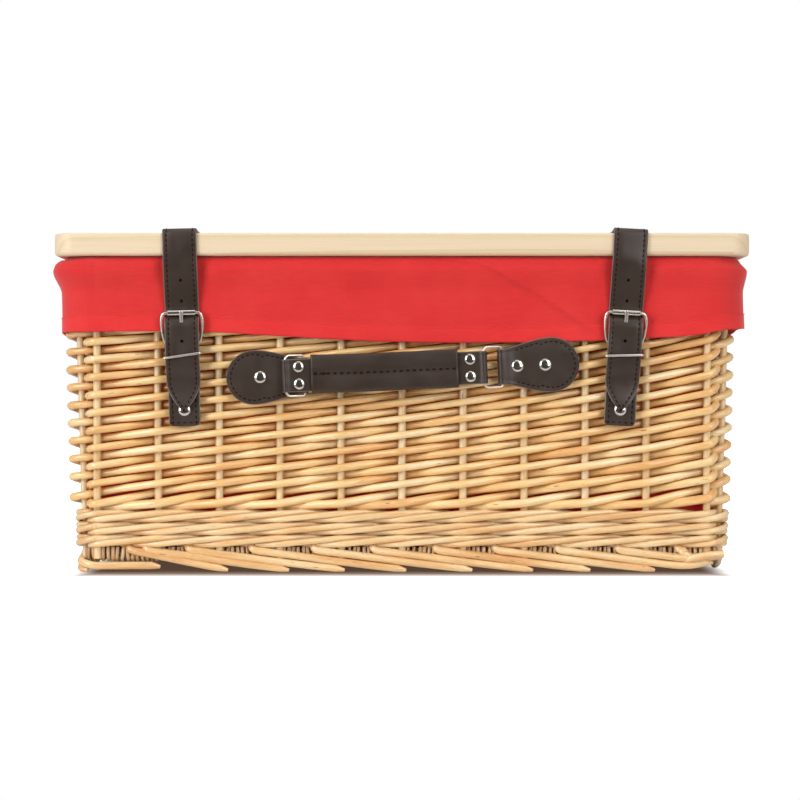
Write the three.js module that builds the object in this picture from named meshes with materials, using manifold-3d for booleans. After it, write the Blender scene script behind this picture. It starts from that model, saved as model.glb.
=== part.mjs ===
// Willow picnic hamper: a tapered box woven from round rods, a flat pine lid hinged on two
// leather straps, a cloth lining folded over the rim, two roller buckles and a leather handle.
// Millimetres, +Z up, the front faces -Y, and the origin is under the middle on the ground.
import * as THREE from "three";
import { mergeVertices } from "three/addons/utils/BufferGeometryUtils.js";
import Module from "manifold-3d";

const wasm = await Module();
wasm.setup();

// Lid board
const LID_LENGTH = 510;
const LID_DEPTH = 350;
const LID_THICKNESS = 16.5;
const LID_CORNER = 16;
const LID_TOP_ROUND = 1.5;
const LID_UNDER_ROUND = 3;

// Basket body
const LID_OVERHANG = 7;
const WALL_TAPER_DEG = 1.6;
const CORNER_RADIUS = 15.7;
const SHARPEST_CORNER = 0.5;
const STAKE = 5;
const STAKE_PITCH = 45;
const ROD = 5.3;
const WALL_BACK = 6.5;
const COURSE_RISE = 12;
const WEAVE_HEIGHT = 174;
const LEFT_LOOPS_STAND_OUT = 3.2;
const RIGHT_LOOPS_STAND_OUT = 1.2;
const FOOT_LEDGE = 10.2;
const FOOT_LIP = 17.4;
const FOOT_OUT = 4.6;
const FOOT_GROOVE = 1.8;
const FOOT_INSIDE = 8;
const FOOT_LIP_INSIDE = 2.1;
const FOOT_ROWS = 3;
const BASE_THICKNESS = 7.7;
const BASE_DIP = 1.5;
const BASE_STICK = 8;
const BASE_STICK_PITCH = 30;
const WALE_ROUNDS = 3;
const WALE_ROUND_HEIGHT = 8.8;
const WALE_OUT = 5.6;
const WALE_GROOVE = 1.7;
const WALE_GROOVE_BETWEEN = 3.2;
const RIM_HEIGHT = 11;
const RIM_OUT = 7.4;
const RIM_ROUND = 2.6;

// Lining cloth
const CLOTH = 0.9;
const SKIRT_DROP = 56;
const SKIRT_BULGE = 2.6;
const SKIRT_BULGE_DROP = 10;
const SKIRT_FLAT_DROP = 24;
const CLOTH_TURN = 2.2;

// Leather straps and their fittings
const STRAP_WIDTH = 25;
const STRAP = 2;
const LEFT_STRAP_FROM_END = 92.8;
const RIGHT_STRAP_FROM_END = 88.2;
const LEFT_STRAP_LEAN_DEG = -1.4;
const RIGHT_STRAP_LEAN_DEG = 3.2;
const STRAP_ARCH = 1.3;
const STRAP_BEND = 3;
const STRAP_TIP_DROP = 115;
const STRAP_TAPER = 21;
const STRAP_HOLE = 2.2;
const STRAP_DROP_TOP = 6;
const STRAP_DROP_IN = 0.7;
const STRAP_ABOVE_ROLLER = 5.7;
const STRAP_BELOW_ROLLER = 2.3;
const STRAP_OUT_ABOVE_HEEL = 12.8;
const STRAP_SETTLE = 10;
const STRAP_LIFT_OVER_RIVET = 8;
const STRAP_HOLE_DROPS = [18, 33, 62.4];
const HINGE_TAIL_DROP = 114;
const HINGE_TAIL_SETTLE = 11;
const TAIL_RIVET_DROPS = [82, 102];
const LID_SCREW_FROM_FRONT = 112;
const LID_SCREW_FROM_REAR = 30;
const LID_SCREW_LENGTH = 11;
const LID_SCREW = 3;
const LID_SCREW_HEAD = 8;
const LID_SCREW_HEAD_RISE = 1.6;

// Roller buckle
const BUCKLE_WIRE = 2.4;
const BUCKLE_WIDTH = 32;
const BUCKLE_TOP_CORNER = 3.5;
const BUCKLE_HEEL_CORNER = 5;
const HEEL_BAR_DROP = 63.8;
const ROLLER_DROP = 41.7;
const ROLLER_DIAMETER = 4.6;
const ROLLER_BORE = 2.9;
const ROLLER_LENGTH = 20.5;
const PRONG_WIDTH = 3.2;
const PRONG_THICKNESS = 1.6;
const PRONG_EYE = 5.3;
const PRONG_PAST_ROLLER = 2.7;
const PRONG_EYE_BORE = 2.7;
const KEEPER_WIRE = 1.6;
const KEEPER_BELOW_HEEL = 9.2;
const KEEPER_CORNER = 1.2;
const KEEPER_WIDTH = 29;
const KEEPER_TRAVEL = 3;
const CHAPE_WIDTH = 23;
const CHAPE_NECK = 18.8;
const CHAPE_LAYER = 1.6;
const CHAPE_CORNER = 4;
const CHAPE_NECK_LENGTH = 4.7;
const CHAPE_SETTLE = 6;
const CHAPE_SLOT = 11;
const CHAPE_SLOT_RISE = -0.7;
const CHAPE_DROP = 124.3;
const CHAPE_RIVET_DROP = 112.5;

// Handle
const HANDLE_Z = 148;
const HANDLE_TILT_DEG = -2.5;
const TAB_PIVOT_SPAN = 144.5;
const TAB_RADIUS = 20;
const TAB_FOLD_FROM_DEG = 240;
const TAB_FOLD_TO_DEG = 450;
const TAB_REACH = 36.8;
const TAB_NECK = 26;
const TAB_LAYER = 1.5;
const TAB_ROUND_SIDES = 18;
const TAB_RIVET_INNER = 11.6;
const TAB_RIVET_OUTER = 32;
const RING_WIRE = 1.9;
const RING_HEIGHT = 31.4;
const RING_LINK = 14.5;
const RING_REST_DEG = 24;
const RING_CORNER = 1.5;
const RING_CHAMFER = 2.4;
const GRIP_LENGTH = 107;
const GRIP_HEIGHT = 28;
const GRIP_THICKNESS = 8.5;
const GRIP_ROUND = 2.6;
const HANDLE_STRAP_WIDTH = 24;
const HANDLE_LAYER = 1.5;
const HANDLE_RIVET_PITCH = 12.5;
const HANDLE_RIVET_FROM_PIVOT = 9.8;
const HANDLE_X = 0.55;

// Rivets: cap, shank and the clinched disc behind the wall
const RIVET_CAP = 9.5;
const RIVET_CAP_RISE = 1.8;
const RIVET_SHANK = 3.5;
const RIVET_CLINCH = 8;
const RIVET_CLINCH_THICKNESS = 1;
const SMALL_RIVET_CAP = 8.2;
const SMALL_RIVET_CAP_RISE = 1.6;

// Fits
const GAP = 0.3;
const BAR_CLEARANCE = 0.15;

// Facets
const ROUND_SIDES = 10;
const WIRE_SIDES = 6;
const CORNER_STEPS = 3;
const RIVET_SIDES = 12;

// Worked-out sizes
const rad = THREE.MathUtils.degToRad;
const taper = Math.tan(rad(WALL_TAPER_DEG));
const rodOut = STAKE / 2 + ROD;
const baseUnderside = FOOT_LEDGE + GAP;
const baseTop = baseUnderside + BASE_THICKNESS;
const waleBottom = baseTop + GAP;
const waleTop = waleBottom + WALE_ROUNDS * WALE_ROUND_HEIGHT;
const weaveBottom = waleTop + GAP;
const weaveTop = weaveBottom + WEAVE_HEIGHT;
const rimBottom = weaveTop + GAP;
const rimTop = rimBottom + RIM_HEIGHT;
const lidUnder = rimTop + 2 * GAP + CLOTH;
const lidTop = lidUnder + LID_THICKNESS;
const lidFront = -LID_DEPTH / 2;
const lidRear = LID_DEPTH / 2;
const skirtBottom = lidUnder - SKIRT_DROP;

// The stake line is the rounded rectangle on which the upright stakes stand. Its corner
// centres are fixed, and its radius grows with height, so all four sides lean outwards.
const cornerX = LID_LENGTH / 2 - LID_OVERHANG - rodOut - CORNER_RADIUS;
const cornerY = LID_DEPTH / 2 - LID_OVERHANG - rodOut - CORNER_RADIUS;
const radiusAt = (z) => CORNER_RADIUS - (lidUnder - z) * taper;
const wallFace = (z) => -(cornerY + radiusAt(z) + rodOut);
const wallInside = (z) => -(cornerY + radiusAt(z) - WALL_BACK);
const bagOffset = -(WALL_BACK + RIVET_CLINCH_THICKNESS + 2 * GAP + CLOTH / 2);
const skirtOffset = rodOut + GAP + CLOTH / 2;
const skirtFace = (z) => wallFace(z) - GAP - CLOTH;

const X = new THREE.Vector3(1, 0, 0);
const Y = new THREE.Vector3(0, 1, 0);
const Z = new THREE.Vector3(0, 0, 1);

// Geometry from points and triangles, turned so that its faces point outwards.
function surface(points, triangles) {
  const position = points.flatMap((p) => [p.x, p.y, p.z]);
  const side = new THREE.Vector3();
  const volume = triangles.reduce(
    (sum, [a, b, c]) => sum + side.crossVectors(points[a], points[b]).dot(points[c]),
    0,
  );
  const index = triangles.flatMap(([a, b, c]) => (volume < 0 ? [a, c, b] : [a, b, c]));
  const geometry = new THREE.BufferGeometry();
  geometry.setAttribute("position", new THREE.Float32BufferAttribute(position, 3));
  geometry.setIndex(index);
  return geometry;
}

// Skin over sections of equal point counts, either round to the first or with flat ends.
function loft(sections, closed) {
  const count = sections[0].length;
  const points = sections.flat();
  const triangles = [];
  const spans = closed ? sections.length : sections.length - 1;
  for (let s = 0; s < spans; s++) {
    const here = s * count;
    const next = ((s + 1) % sections.length) * count;
    for (let i = 0; i < count; i++) {
      const j = (i + 1) % count;
      triangles.push([here + i, here + j, next + j], [here + i, next + j, next + i]);
    }
  }
  if (!closed) {
    const last = (sections.length - 1) * count;
    for (let i = 1; i < count - 1; i++) {
      triangles.push([0, i + 1, i], [last, last + i, last + i + 1]);
    }
  }
  return surface(points, triangles);
}

function solidOf(geometry) {
  const bare = geometry.clone();
  bare.deleteAttribute("normal");
  bare.deleteAttribute("uv");
  const merged = mergeVertices(bare, 1e-4);
  return new wasm.Manifold(
    new wasm.Mesh({
      numProp: 3,
      vertProperties: new Float32Array(merged.getAttribute("position").array),
      triVerts: new Uint32Array(merged.getIndex().array),
    }),
  );
}

function geometryOf(solid) {
  const mesh = solid.getMesh();
  const geometry = new THREE.BufferGeometry();
  const position = new Float32Array(mesh.vertProperties);
  geometry.setAttribute("position", new THREE.BufferAttribute(position, 3));
  geometry.setIndex(new THREE.BufferAttribute(new Uint32Array(mesh.triVerts), 1));
  return geometry;
}

const cut = (body, ...tools) =>
  geometryOf(tools.reduce((left, tool) => left.subtract(solidOf(tool)), solidOf(body)));
const join = (body, ...more) =>
  geometryOf(more.reduce((whole, piece) => whole.add(solidOf(piece)), solidOf(body)));
const common = (body, other) => geometryOf(solidOf(body).intersect(solidOf(other)));

function shapeOf(points) {
  return new THREE.Shape(points.map(([u, v]) => new THREE.Vector2(u, v)));
}

// A shape drawn in the side view (y, z), extruded to a width along X about x = 0.
function acrossX(shape, width, curveSegments = 6) {
  const settings = { depth: width, bevelEnabled: false, curveSegments };
  const geometry = new THREE.ExtrudeGeometry(shape, settings);
  geometry.translate(0, 0, -width / 2);
  return geometry.applyMatrix4(new THREE.Matrix4().makeBasis(Y, Z, X));
}

// A shape drawn in the front view (x, z), extruded from y = back towards the front.
function towardsFront(shape, back, depth, curveSegments = 6) {
  const settings = { depth, bevelEnabled: false, curveSegments };
  const geometry = new THREE.ExtrudeGeometry(shape, settings);
  const out = Y.clone().negate();
  return geometry
    .applyMatrix4(new THREE.Matrix4().makeBasis(X, Z, out))
    .translate(0, back, 0);
}

// A round bar along X, Y or Z, centred on a point.
function bar(axis, diameter, length, centre, sides = ROUND_SIDES) {
  const geometry = new THREE.CylinderGeometry(diameter / 2, diameter / 2, length, sides);
  if (axis === "x") geometry.rotateZ(Math.PI / 2);
  if (axis === "z") geometry.rotateX(Math.PI / 2);
  return geometry.translate(...centre);
}

// The outline of a band of even thickness along a line of points (u, v).
function ribbon(points, thickness) {
  const line = points.map(([u, v]) => new THREE.Vector2(u, v));
  const half = thickness / 2;
  const normals = line.slice(1).map((p, i) => {
    const along = p.clone().sub(line[i]).normalize();
    return new THREE.Vector2(-along.y, along.x);
  });
  const outwards = line.map((p, i) => {
    const before = normals[Math.max(i - 1, 0)];
    const after = normals[Math.min(i, normals.length - 1)];
    const middle = before.clone().add(after).normalize();
    return middle.multiplyScalar(half / middle.dot(after));
  });
  const left = line.map((p, i) => p.clone().add(outwards[i]));
  const right = line.map((p, i) => p.clone().sub(outwards[i]));
  return [...left, ...right.reverse()];
}

// An arc as points (u, v), from one angle to another in degrees.
function arc(centreU, centreV, radius, fromDeg, toDeg, steps = 4) {
  return Array.from({ length: steps + 1 }, (_, i) => {
    const a = rad(fromDeg + ((toDeg - fromDeg) * i) / steps);
    return [centreU + radius * Math.cos(a), centreV + radius * Math.sin(a)];
  });
}

// A wire bent round a flat closed path. Normals lie in the plane, and across is its normal.
function closedWire(path, diameter, across) {
  const count = path.length;
  const sections = path.map((p, i) => {
    const before = path[(i + count - 1) % count];
    const after = path[(i + 1) % count];
    const t1 = p.clone().sub(before).normalize();
    const t2 = after.clone().sub(p).normalize();
    const tangent = t1.clone().add(t2).normalize();
    const normal = tangent.clone().cross(across).normalize();
    const stretch = 1 / tangent.dot(t2);
    return Array.from({ length: WIRE_SIDES }, (_, k) => {
      const a = (2 * Math.PI * (k + 0.5)) / WIRE_SIDES;
      return p
        .clone()
        .addScaledVector(normal, (diameter / 2) * Math.cos(a) * stretch)
        .addScaledVector(across, (diameter / 2) * Math.sin(a));
    });
  });
  return loft(sections, true);
}

// Stations round the basket: a point on the stake line at z = 0, and the way out from it.
const startRadius = radiusAt(0);
const SIDES = [
  { name: "front", length: 2 * cornerX, from: [-cornerX, -cornerY], along: [1, 0] },
  {
    name: "right",
    length: 2 * cornerY,
    from: [cornerX, -cornerY],
    along: [0, 1],
    loose: RIGHT_LOOPS_STAND_OUT,
  },
  { name: "back", length: 2 * cornerX, from: [cornerX, cornerY], along: [-1, 0] },
  {
    name: "left",
    length: 2 * cornerY,
    from: [-cornerX, cornerY],
    along: [0, -1],
    loose: LEFT_LOOPS_STAND_OUT,
  },
].map((side) => ({ ...side, gaps: Math.round(side.length / STAKE_PITCH) }));

const wayOut = (side) => [side.along[1], -side.along[0]];

function onSide(side, share, gapsPassed) {
  const [ax, ay] = side.along;
  const [nx, ny] = wayOut(side);
  const run = share * side.length;
  return { x: side.from[0] + ax * run, y: side.from[1] + ay * run, nx, ny, gapsPassed };
}

// A station on the corner after a side, at a share of its quarter turn, moved along by shift.
function onCorner(side, share, gapsPassed, shift = 0) {
  const [ax, ay] = side.along;
  const [sx, sy] = wayOut(side);
  const turn = (share * Math.PI) / 2;
  const nx = sx * Math.cos(turn) + ax * Math.sin(turn);
  const ny = sy * Math.cos(turn) + ay * Math.sin(turn);
  const x = side.from[0] + ax * side.length - ny * shift;
  const y = side.from[1] + ay * side.length + nx * shift;
  return { x, y, nx, ny, gapsPassed };
}

function at(station, out, z) {
  const reach = startRadius + out + z * taper;
  return new THREE.Vector3(station.x + station.nx * reach, station.y + station.ny * reach, z);
}

// All stations of a ring: one at each stake, with steps round each corner.
function ringStations(perGap, cornerSteps) {
  const stations = [];
  let passed = 0;
  for (const side of SIDES) {
    const count = side.gaps * perGap;
    for (let i = 0; i <= count; i++) {
      stations.push(onSide(side, i / count, passed + i / perGap));
    }
    passed += side.gaps;
    for (let i = 1; i < cornerSteps; i++) {
      stations.push(onCorner(side, i / cornerSteps, passed + i / cornerSteps));
    }
    passed += 1;
  }
  return stations;
}

// Triangles between two upright columns of points, each listed from the bottom up with the
// level that a strand passing through it has in both columns, so that edges follow strands.
function zip(columnA, columnB, triangles) {
  let i = 0;
  let j = 0;
  while (i < columnA.length - 1 || j < columnB.length - 1) {
    const stepA =
      j === columnB.length - 1 ||
      (i < columnA.length - 1 && columnA[i + 1].level <= columnB[j + 1].level + 1e-6);
    if (stepA) {
      triangles.push([columnA[i].id, columnB[j].id, columnA[i + 1].id]);
      i++;
    } else {
      triangles.push([columnA[i].id, columnB[j].id, columnB[j + 1].id]);
      j++;
    }
  }
}

// One woven side: every rod rises by half a course from one stake to the next, and passes
// in front of one stake and behind the next. Its two ends are mitred in the corners. On the
// basket's ends the loops stand out further wherever the skirt doesn't hold them in.
function wovenSide(side, sideBefore) {
  const half = COURSE_RISE / 2;
  const levels = Math.floor((weaveTop - weaveBottom) / half);
  const columns = [{ station: onCorner(sideBefore, 0.5, 0, GAP / 2), stake: false }];
  for (let k = 0; k <= side.gaps; k++) {
    columns.push({ station: onSide(side, k / side.gaps, 0), stake: true });
    if (k === side.gaps) break;
    columns.push({ station: onSide(side, (k + 0.5) / side.gaps, 0), stake: false });
  }
  columns.push({ station: onCorner(side, 0.5, 0, -GAP / 2), stake: false });
  const points = [];
  const triangles = [];
  const put = (station, out, z, level) => {
    points.push(at(station, out, z));
    return { id: points.length - 1, level };
  };
  const outer = columns.map(({ station, stake }, c) => {
    const lift = (c * half) / 2;
    const column = [put(station, ROD / 2, weaveBottom, -Infinity)];
    for (let m = 0; m < levels; m++) {
      const z = weaveBottom + (m + (stake ? 0.5 : 1)) * half;
      if (z > weaveTop - ROD / 4) break;
      const loop = rodOut + (z < skirtBottom - half ? (side.loose ?? 0) : 0);
      const out = stake ? (m % 2 ? loop : STAKE / 2) : ROD / 2;
      column.push(put(station, out, z, z - lift));
    }
    column.push(put(station, ROD / 2, weaveTop, Infinity));
    return column;
  });
  const inner = columns.map(({ station }) => [
    put(station, -WALL_BACK, weaveBottom, 0),
    put(station, -WALL_BACK, weaveTop, 1),
  ]);
  for (let c = 0; c < columns.length - 1; c++) {
    zip(outer[c], outer[c + 1], triangles);
    zip(inner[c + 1], inner[c], triangles);
    zip([inner[c][0], outer[c][0]], [inner[c + 1][0], outer[c + 1][0]], triangles);
    zip([outer[c].at(-1), inner[c][1]], [outer[c + 1].at(-1), inner[c + 1][1]], triangles);
  }
  const cap = (c, turned) => {
    const ids = [...outer[c].map((p) => p.id), inner[c][1].id];
    for (let i = 0; i < ids.length - 1; i++) {
      const three = [inner[c][0].id, ids[i], ids[i + 1]];
      triangles.push(turned ? three.reverse() : three);
    }
  };
  cap(0, false);
  cap(columns.length - 1, true);
  return surface(points, triangles);
}

function ringOf(sectionAt, stations) {
  return loft(
    stations.map((station) => sectionAt(station).map(([out, z]) => at(station, out, z))),
    true,
  );
}

// Stations only where the ring bends, for a ring of one section all the way round.
function plainStations() {
  return SIDES.flatMap((side) => {
    const bend = Array.from({ length: CORNER_STEPS - 1 }, (_, i) =>
      onCorner(side, (i + 1) / CORNER_STEPS, 0),
    );
    return [onSide(side, 0, 0), onSide(side, 1, 0), ...bend];
  });
}

// The stake line at a height less an inset, as a rounded outline in plan.
function planOutline(inset, z, steps) {
  const radius = Math.max(radiusAt(z) - inset, SHARPEST_CORNER);
  const spread = Math.min(radiusAt(z) - inset - SHARPEST_CORNER, 0);
  return roundedOutline(cornerX + spread, cornerY + spread, radius, steps);
}

function roundedOutline(centreX, centreY, radius, steps) {
  return [
    [1, -1, -90],
    [1, 1, 0],
    [-1, 1, 90],
    [-1, -1, 180],
  ].flatMap(([sx, sy, from]) =>
    arc(sx * centreX, sy * centreY, radius, from, from + 90, steps),
  );
}

// The woven base: thick sticks along the basket, wrapped by rods from front to back.
function basePanel() {
  const inset = FOOT_LIP_INSIDE + GAP;
  const halfDepth = cornerY + radiusAt(baseUnderside) - inset;
  const sticks = Math.floor((2 * halfDepth - BASE_STICK) / BASE_STICK_PITCH);
  const pitch = (2 * halfDepth - BASE_STICK) / sticks;
  const wave = (crest, trough) =>
    Array.from({ length: sticks + 1 }, (_, i) => -halfDepth + BASE_STICK / 2 + i * pitch)
      .flatMap((y) => [
        [y - pitch / 4, trough],
        [y, crest],
        [y + pitch / 4, trough],
      ])
      .slice(1, -1);
  const under = wave(baseUnderside, baseUnderside + BASE_DIP);
  const over = wave(baseTop, baseTop - BASE_DIP).reverse();
  const middle = (baseUnderside + baseTop) / 2;
  const outline = [[-halfDepth, middle], ...under, [halfDepth, middle], ...over];
  const slab = acrossX(shapeOf(outline), 2 * (cornerX + radiusAt(baseUnderside)));
  const plan = shapeOf(planOutline(inset, baseUnderside, 2));
  const column = new THREE.ExtrudeGeometry(plan, { depth: 2 * baseTop, bevelEnabled: false });
  return common(slab, column);
}

// Ridges of laid rods up the outer face of a ring, from the bottom up.
function ridges(rows, bottom, rowHeight, out, groove) {
  return Array.from({ length: 2 * rows + 1 }, (_, i) => [
    i % 2 ? out : out - groove,
    bottom + (i / 2) * rowHeight,
  ]);
}

// The foot: rods plaited round the base edge, flat where the hamper stands.
function footBorder() {
  const rowHeight = FOOT_LIP / FOOT_ROWS;
  const section = [
    ...ridges(FOOT_ROWS, 0, rowHeight, FOOT_OUT, FOOT_GROOVE),
    [-FOOT_LIP_INSIDE, FOOT_LIP],
    [-FOOT_LIP_INSIDE, FOOT_LEDGE],
    [-FOOT_INSIDE, FOOT_LEDGE],
    [-FOOT_INSIDE, 0],
  ];
  return ringOf(() => section, ringStations(1, 2));
}

// The wale: rounds of three rods twisted round the stakes, which part between the stakes.
function waleBand() {
  const sectionAt = ({ gapsPassed }) => {
    const groove = gapsPassed % 1 ? WALE_GROOVE_BETWEEN : WALE_GROOVE;
    return [
      ...ridges(WALE_ROUNDS, waleBottom, WALE_ROUND_HEIGHT, WALE_OUT, groove),
      [-WALL_BACK, waleTop],
      [-WALL_BACK, waleBottom],
    ];
  };
  return ringOf(sectionAt, ringStations(2, 2));
}

function rimBorder() {
  const section = [
    [RIM_OUT - RIM_ROUND, rimBottom],
    [RIM_OUT, rimBottom + RIM_ROUND],
    [RIM_OUT, rimTop - RIM_ROUND],
    [RIM_OUT - RIM_ROUND, rimTop],
    [RIM_ROUND - RIM_OUT, rimTop],
    [-RIM_OUT, rimTop - RIM_ROUND],
    [-RIM_OUT, rimBottom + RIM_ROUND],
    [RIM_ROUND - RIM_OUT, rimBottom],
  ];
  return ringOf(() => section, plainStations());
}

// The lining: a bag inside the basket, turned over the rim into a skirt outside.
function liningCloth() {
  const floor = waleBottom + CLOTH / 2;
  const over = rimTop + GAP + CLOTH / 2;
  const path = [
    [bagOffset, floor],
    [bagOffset, over - CLOTH_TURN],
    [bagOffset + CLOTH_TURN, over],
    [skirtOffset - CLOTH_TURN, over],
    [skirtOffset, over - CLOTH_TURN],
    [skirtOffset + SKIRT_BULGE, lidUnder - SKIRT_BULGE_DROP],
    [skirtOffset, lidUnder - SKIRT_FLAT_DROP],
    [skirtOffset, lidUnder - SKIRT_DROP],
  ];
  const section = ribbon(path, CLOTH).map((p) => [p.x, p.y]);
  const sides = ringOf(() => section, plainStations());
  const plan = shapeOf(planOutline(-bagOffset, waleBottom, CORNER_STEPS));
  const bottom = new THREE.ExtrudeGeometry(plan, { depth: CLOTH, bevelEnabled: false });
  return join(sides, bottom.translate(0, 0, waleBottom));
}

function lidBoard() {
  const edge = [
    ...arc(LID_UNDER_ROUND, LID_UNDER_ROUND, LID_UNDER_ROUND, 270, 180, 2),
    ...arc(LID_TOP_ROUND, LID_THICKNESS - LID_TOP_ROUND, LID_TOP_ROUND, 180, 90, 2),
  ];
  const centreX = LID_LENGTH / 2 - LID_CORNER;
  const centreY = LID_DEPTH / 2 - LID_CORNER;
  const rings = edge.map(([inset, rise]) =>
    roundedOutline(centreX, centreY, LID_CORNER - inset, 2 * CORNER_STEPS).map(
      ([x, y]) => new THREE.Vector3(x, y, lidUnder + rise),
    ),
  );
  const depth = LID_SCREW_LENGTH + GAP;
  const holes = STRAPS.flatMap(({ x }) =>
    lidScrewYs.map((y) => bar("z", LID_SCREW + 2 * GAP, 2 * depth, [x, y, lidTop])),
  );
  return cut(loft(rings, false), ...holes);
}

// A turned piece about the line through the origin along Y, from its profile (radius, y).
function turned(profile, sides = RIVET_SIDES) {
  const outline = profile.map(([radius, y]) => new THREE.Vector2(radius, y));
  const lathe = new THREE.LatheGeometry(outline, sides);
  lathe.deleteAttribute("normal");
  lathe.deleteAttribute("uv");
  const merged = mergeVertices(lathe, 1e-4);
  const position = merged.getAttribute("position");
  const points = Array.from({ length: position.count }, (_, i) =>
    new THREE.Vector3().fromBufferAttribute(position, i),
  );
  const index = [...merged.getIndex().array];
  const triangles = [];
  for (let i = 0; i < index.length; i += 3) {
    const three = index.slice(i, i + 3);
    if (new Set(three).size === 3) triangles.push(three);
  }
  return surface(points, triangles);
}

// Half the profile of a domed cap that stands out from y = face towards -Y.
function domedCap(diameter, rise, face) {
  const radius = diameter / 2;
  return arc(0, 0, 1, 0, 60, 2).map(([across, up]) => [radius * across, face - rise * up]);
}

// A rivet along Y: domed cap in front of y = face, and a clinched disc behind y = back.
function rivet(face, back, capDiameter, capRise, clinch) {
  const shank = RIVET_SHANK / 2;
  const behind = clinch
    ? [
        [0, back + RIVET_CLINCH_THICKNESS],
        [RIVET_CLINCH / 2, back + RIVET_CLINCH_THICKNESS],
        [RIVET_CLINCH / 2, back],
        [shank, back],
      ]
    : [
        [0, back],
        [shank, back],
      ];
  const cap = domedCap(capDiameter, capRise, face);
  return turned([...behind, [shank, face], ...cap, [0, face - capRise]]);
}

// The hole a rivet's shank goes through, wide enough for the shank.
function rivetHole(x, y, z, length) {
  return bar("y", RIVET_SHANK + 2 * GAP, length, [x, y, z], WIRE_SIDES);
}


// The strap over the lid: up the rear edge, along the top and over the front edge.
function lidStrapOver() {
  const rear = lidRear + GAP + STRAP / 2;
  const line = [
    [rear, lidUnder + GAP / 2],
    ...arc(rear - STRAP_BEND, strapTopLine - STRAP_BEND, STRAP_BEND, 0, 90, CORNER_STEPS),
    [lidFront + 5 * STRAP_BEND, strapTopLine],
    [lidFront + STRAP_BEND, strapTopLine + STRAP_ARCH],
    [strapOut + STRAP / 2, strapTopLine + STRAP_ARCH / 2],
    [strapOut, strapTopLine - STRAP_BEND / 2],
    [strapOut, lidTop - STRAP_BEND],
  ];
  const strap = acrossX(new THREE.Shape(ribbon(line, STRAP)), STRAP_WIDTH);
  const holes = lidScrewYs.map((y) =>
    bar("z", LID_SCREW + 2 * GAP, 4 * STRAP, [0, y, strapTopLine]),
  );
  return cut(strap, ...holes);
}

function lidStrap(x, lean) {
  const over = lidStrapOver().translate(x, 0, 0);
  const height = lidTop - lidUnder - GAP / 2;
  const down = new THREE.BoxGeometry(STRAP_WIDTH, STRAP, height);
  down.translate(0, strapOut, lidUnder + GAP / 2 + height / 2 - leanZ);
  down.rotateY(lean).translate(x, 0, leanZ);
  return join(over, down);
}

// The front of each strap set in the side view (y, z). The strap drops from the lid's edge,
// passes behind the roller, comes out over the heel bar and goes down over the chape's rivet.
const strapOut = lidFront - GAP - STRAP / 2;
const strapTopLine = lidTop + GAP + STRAP / 2;
const leanZ = strapTopLine;
const lidScrewYs = [lidFront + LID_SCREW_FROM_FRONT, lidRear - LID_SCREW_FROM_REAR];
const chapeEye = PRONG_EYE / 2 + GAP;
const heel = [skirtFace(skirtBottom) - GAP - chapeEye, lidUnder - HEEL_BAR_DROP];
const rollerZ = lidUnder - ROLLER_DROP;
const behindRoller = skirtFace(rollerZ + STRAP_ABOVE_ROLLER) - 2 * GAP - STRAP / 2;
const topBar = [behindRoller - STRAP / 2 - GAP - ROLLER_DIAMETER / 2, rollerZ];
const overChape = heel[0] - chapeEye - GAP - STRAP / 2;
const keeperZ = heel[1] - KEEPER_BELOW_HEEL;
const keeperFront = overChape - STRAP / 2 - KEEPER_WIRE / 2 - BAR_CLEARANCE;
const pocketBottom = keeperZ - KEEPER_TRAVEL - KEEPER_WIRE / 2 - GAP;
const foldBottom = pocketBottom - CHAPE_LAYER;
const chapeFlat = foldBottom - CHAPE_SETTLE;
const chapeBack = wallFace(chapeFlat) - GAP;
const chapeFront = chapeBack - 2 * CHAPE_LAYER;
const chapeRivetZ = lidUnder - CHAPE_RIVET_DROP;
const onChape = chapeFront - GAP - STRAP / 2;
const overRivet = onChape - RIVET_CAP_RISE - GAP;
const strapLine = [
  [strapOut, lidUnder - 2 * GAP],
  [strapOut + STRAP_DROP_IN, lidUnder - STRAP_DROP_TOP],
  [behindRoller, rollerZ + STRAP_ABOVE_ROLLER],
  [behindRoller, rollerZ - STRAP_BELOW_ROLLER],
  [overChape, heel[1] + STRAP_OUT_ABOVE_HEEL],
  [overChape, foldBottom],
  [onChape, foldBottom - STRAP_SETTLE],
  [onChape, chapeRivetZ + RIVET_CAP + STRAP_LIFT_OVER_RIVET / 2],
  [overRivet, chapeRivetZ + RIVET_CAP / 2],
  [overRivet, lidUnder - STRAP_TIP_DROP],
];

// The prong lies clear of the roller, on the line that just passes it.
const barRise = Math.hypot(topBar[0] - heel[0], topBar[1] - heel[1]);
const prongClear = ROLLER_DIAMETER / 2 + 2 * GAP + PRONG_THICKNESS / 2;
const prongAngle =
  Math.atan2(topBar[1] - heel[1], topBar[0] - heel[0]) + Math.asin(prongClear / barRise);
const prongTip = [
  heel[0] + (barRise + PRONG_PAST_ROLLER) * Math.cos(prongAngle),
  heel[1] + (barRise + PRONG_PAST_ROLLER) * Math.sin(prongAngle),
];

const inSideView = ([y, z]) => new THREE.Vector3(0, y, z);

// The prong's tongue, thickened all round by a fit.
function tongue(fit) {
  const line = [heel, prongTip];
  return acrossX(
    new THREE.Shape(ribbon(line, PRONG_THICKNESS + 2 * fit)),
    PRONG_WIDTH + 2 * fit,
  );
}

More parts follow.
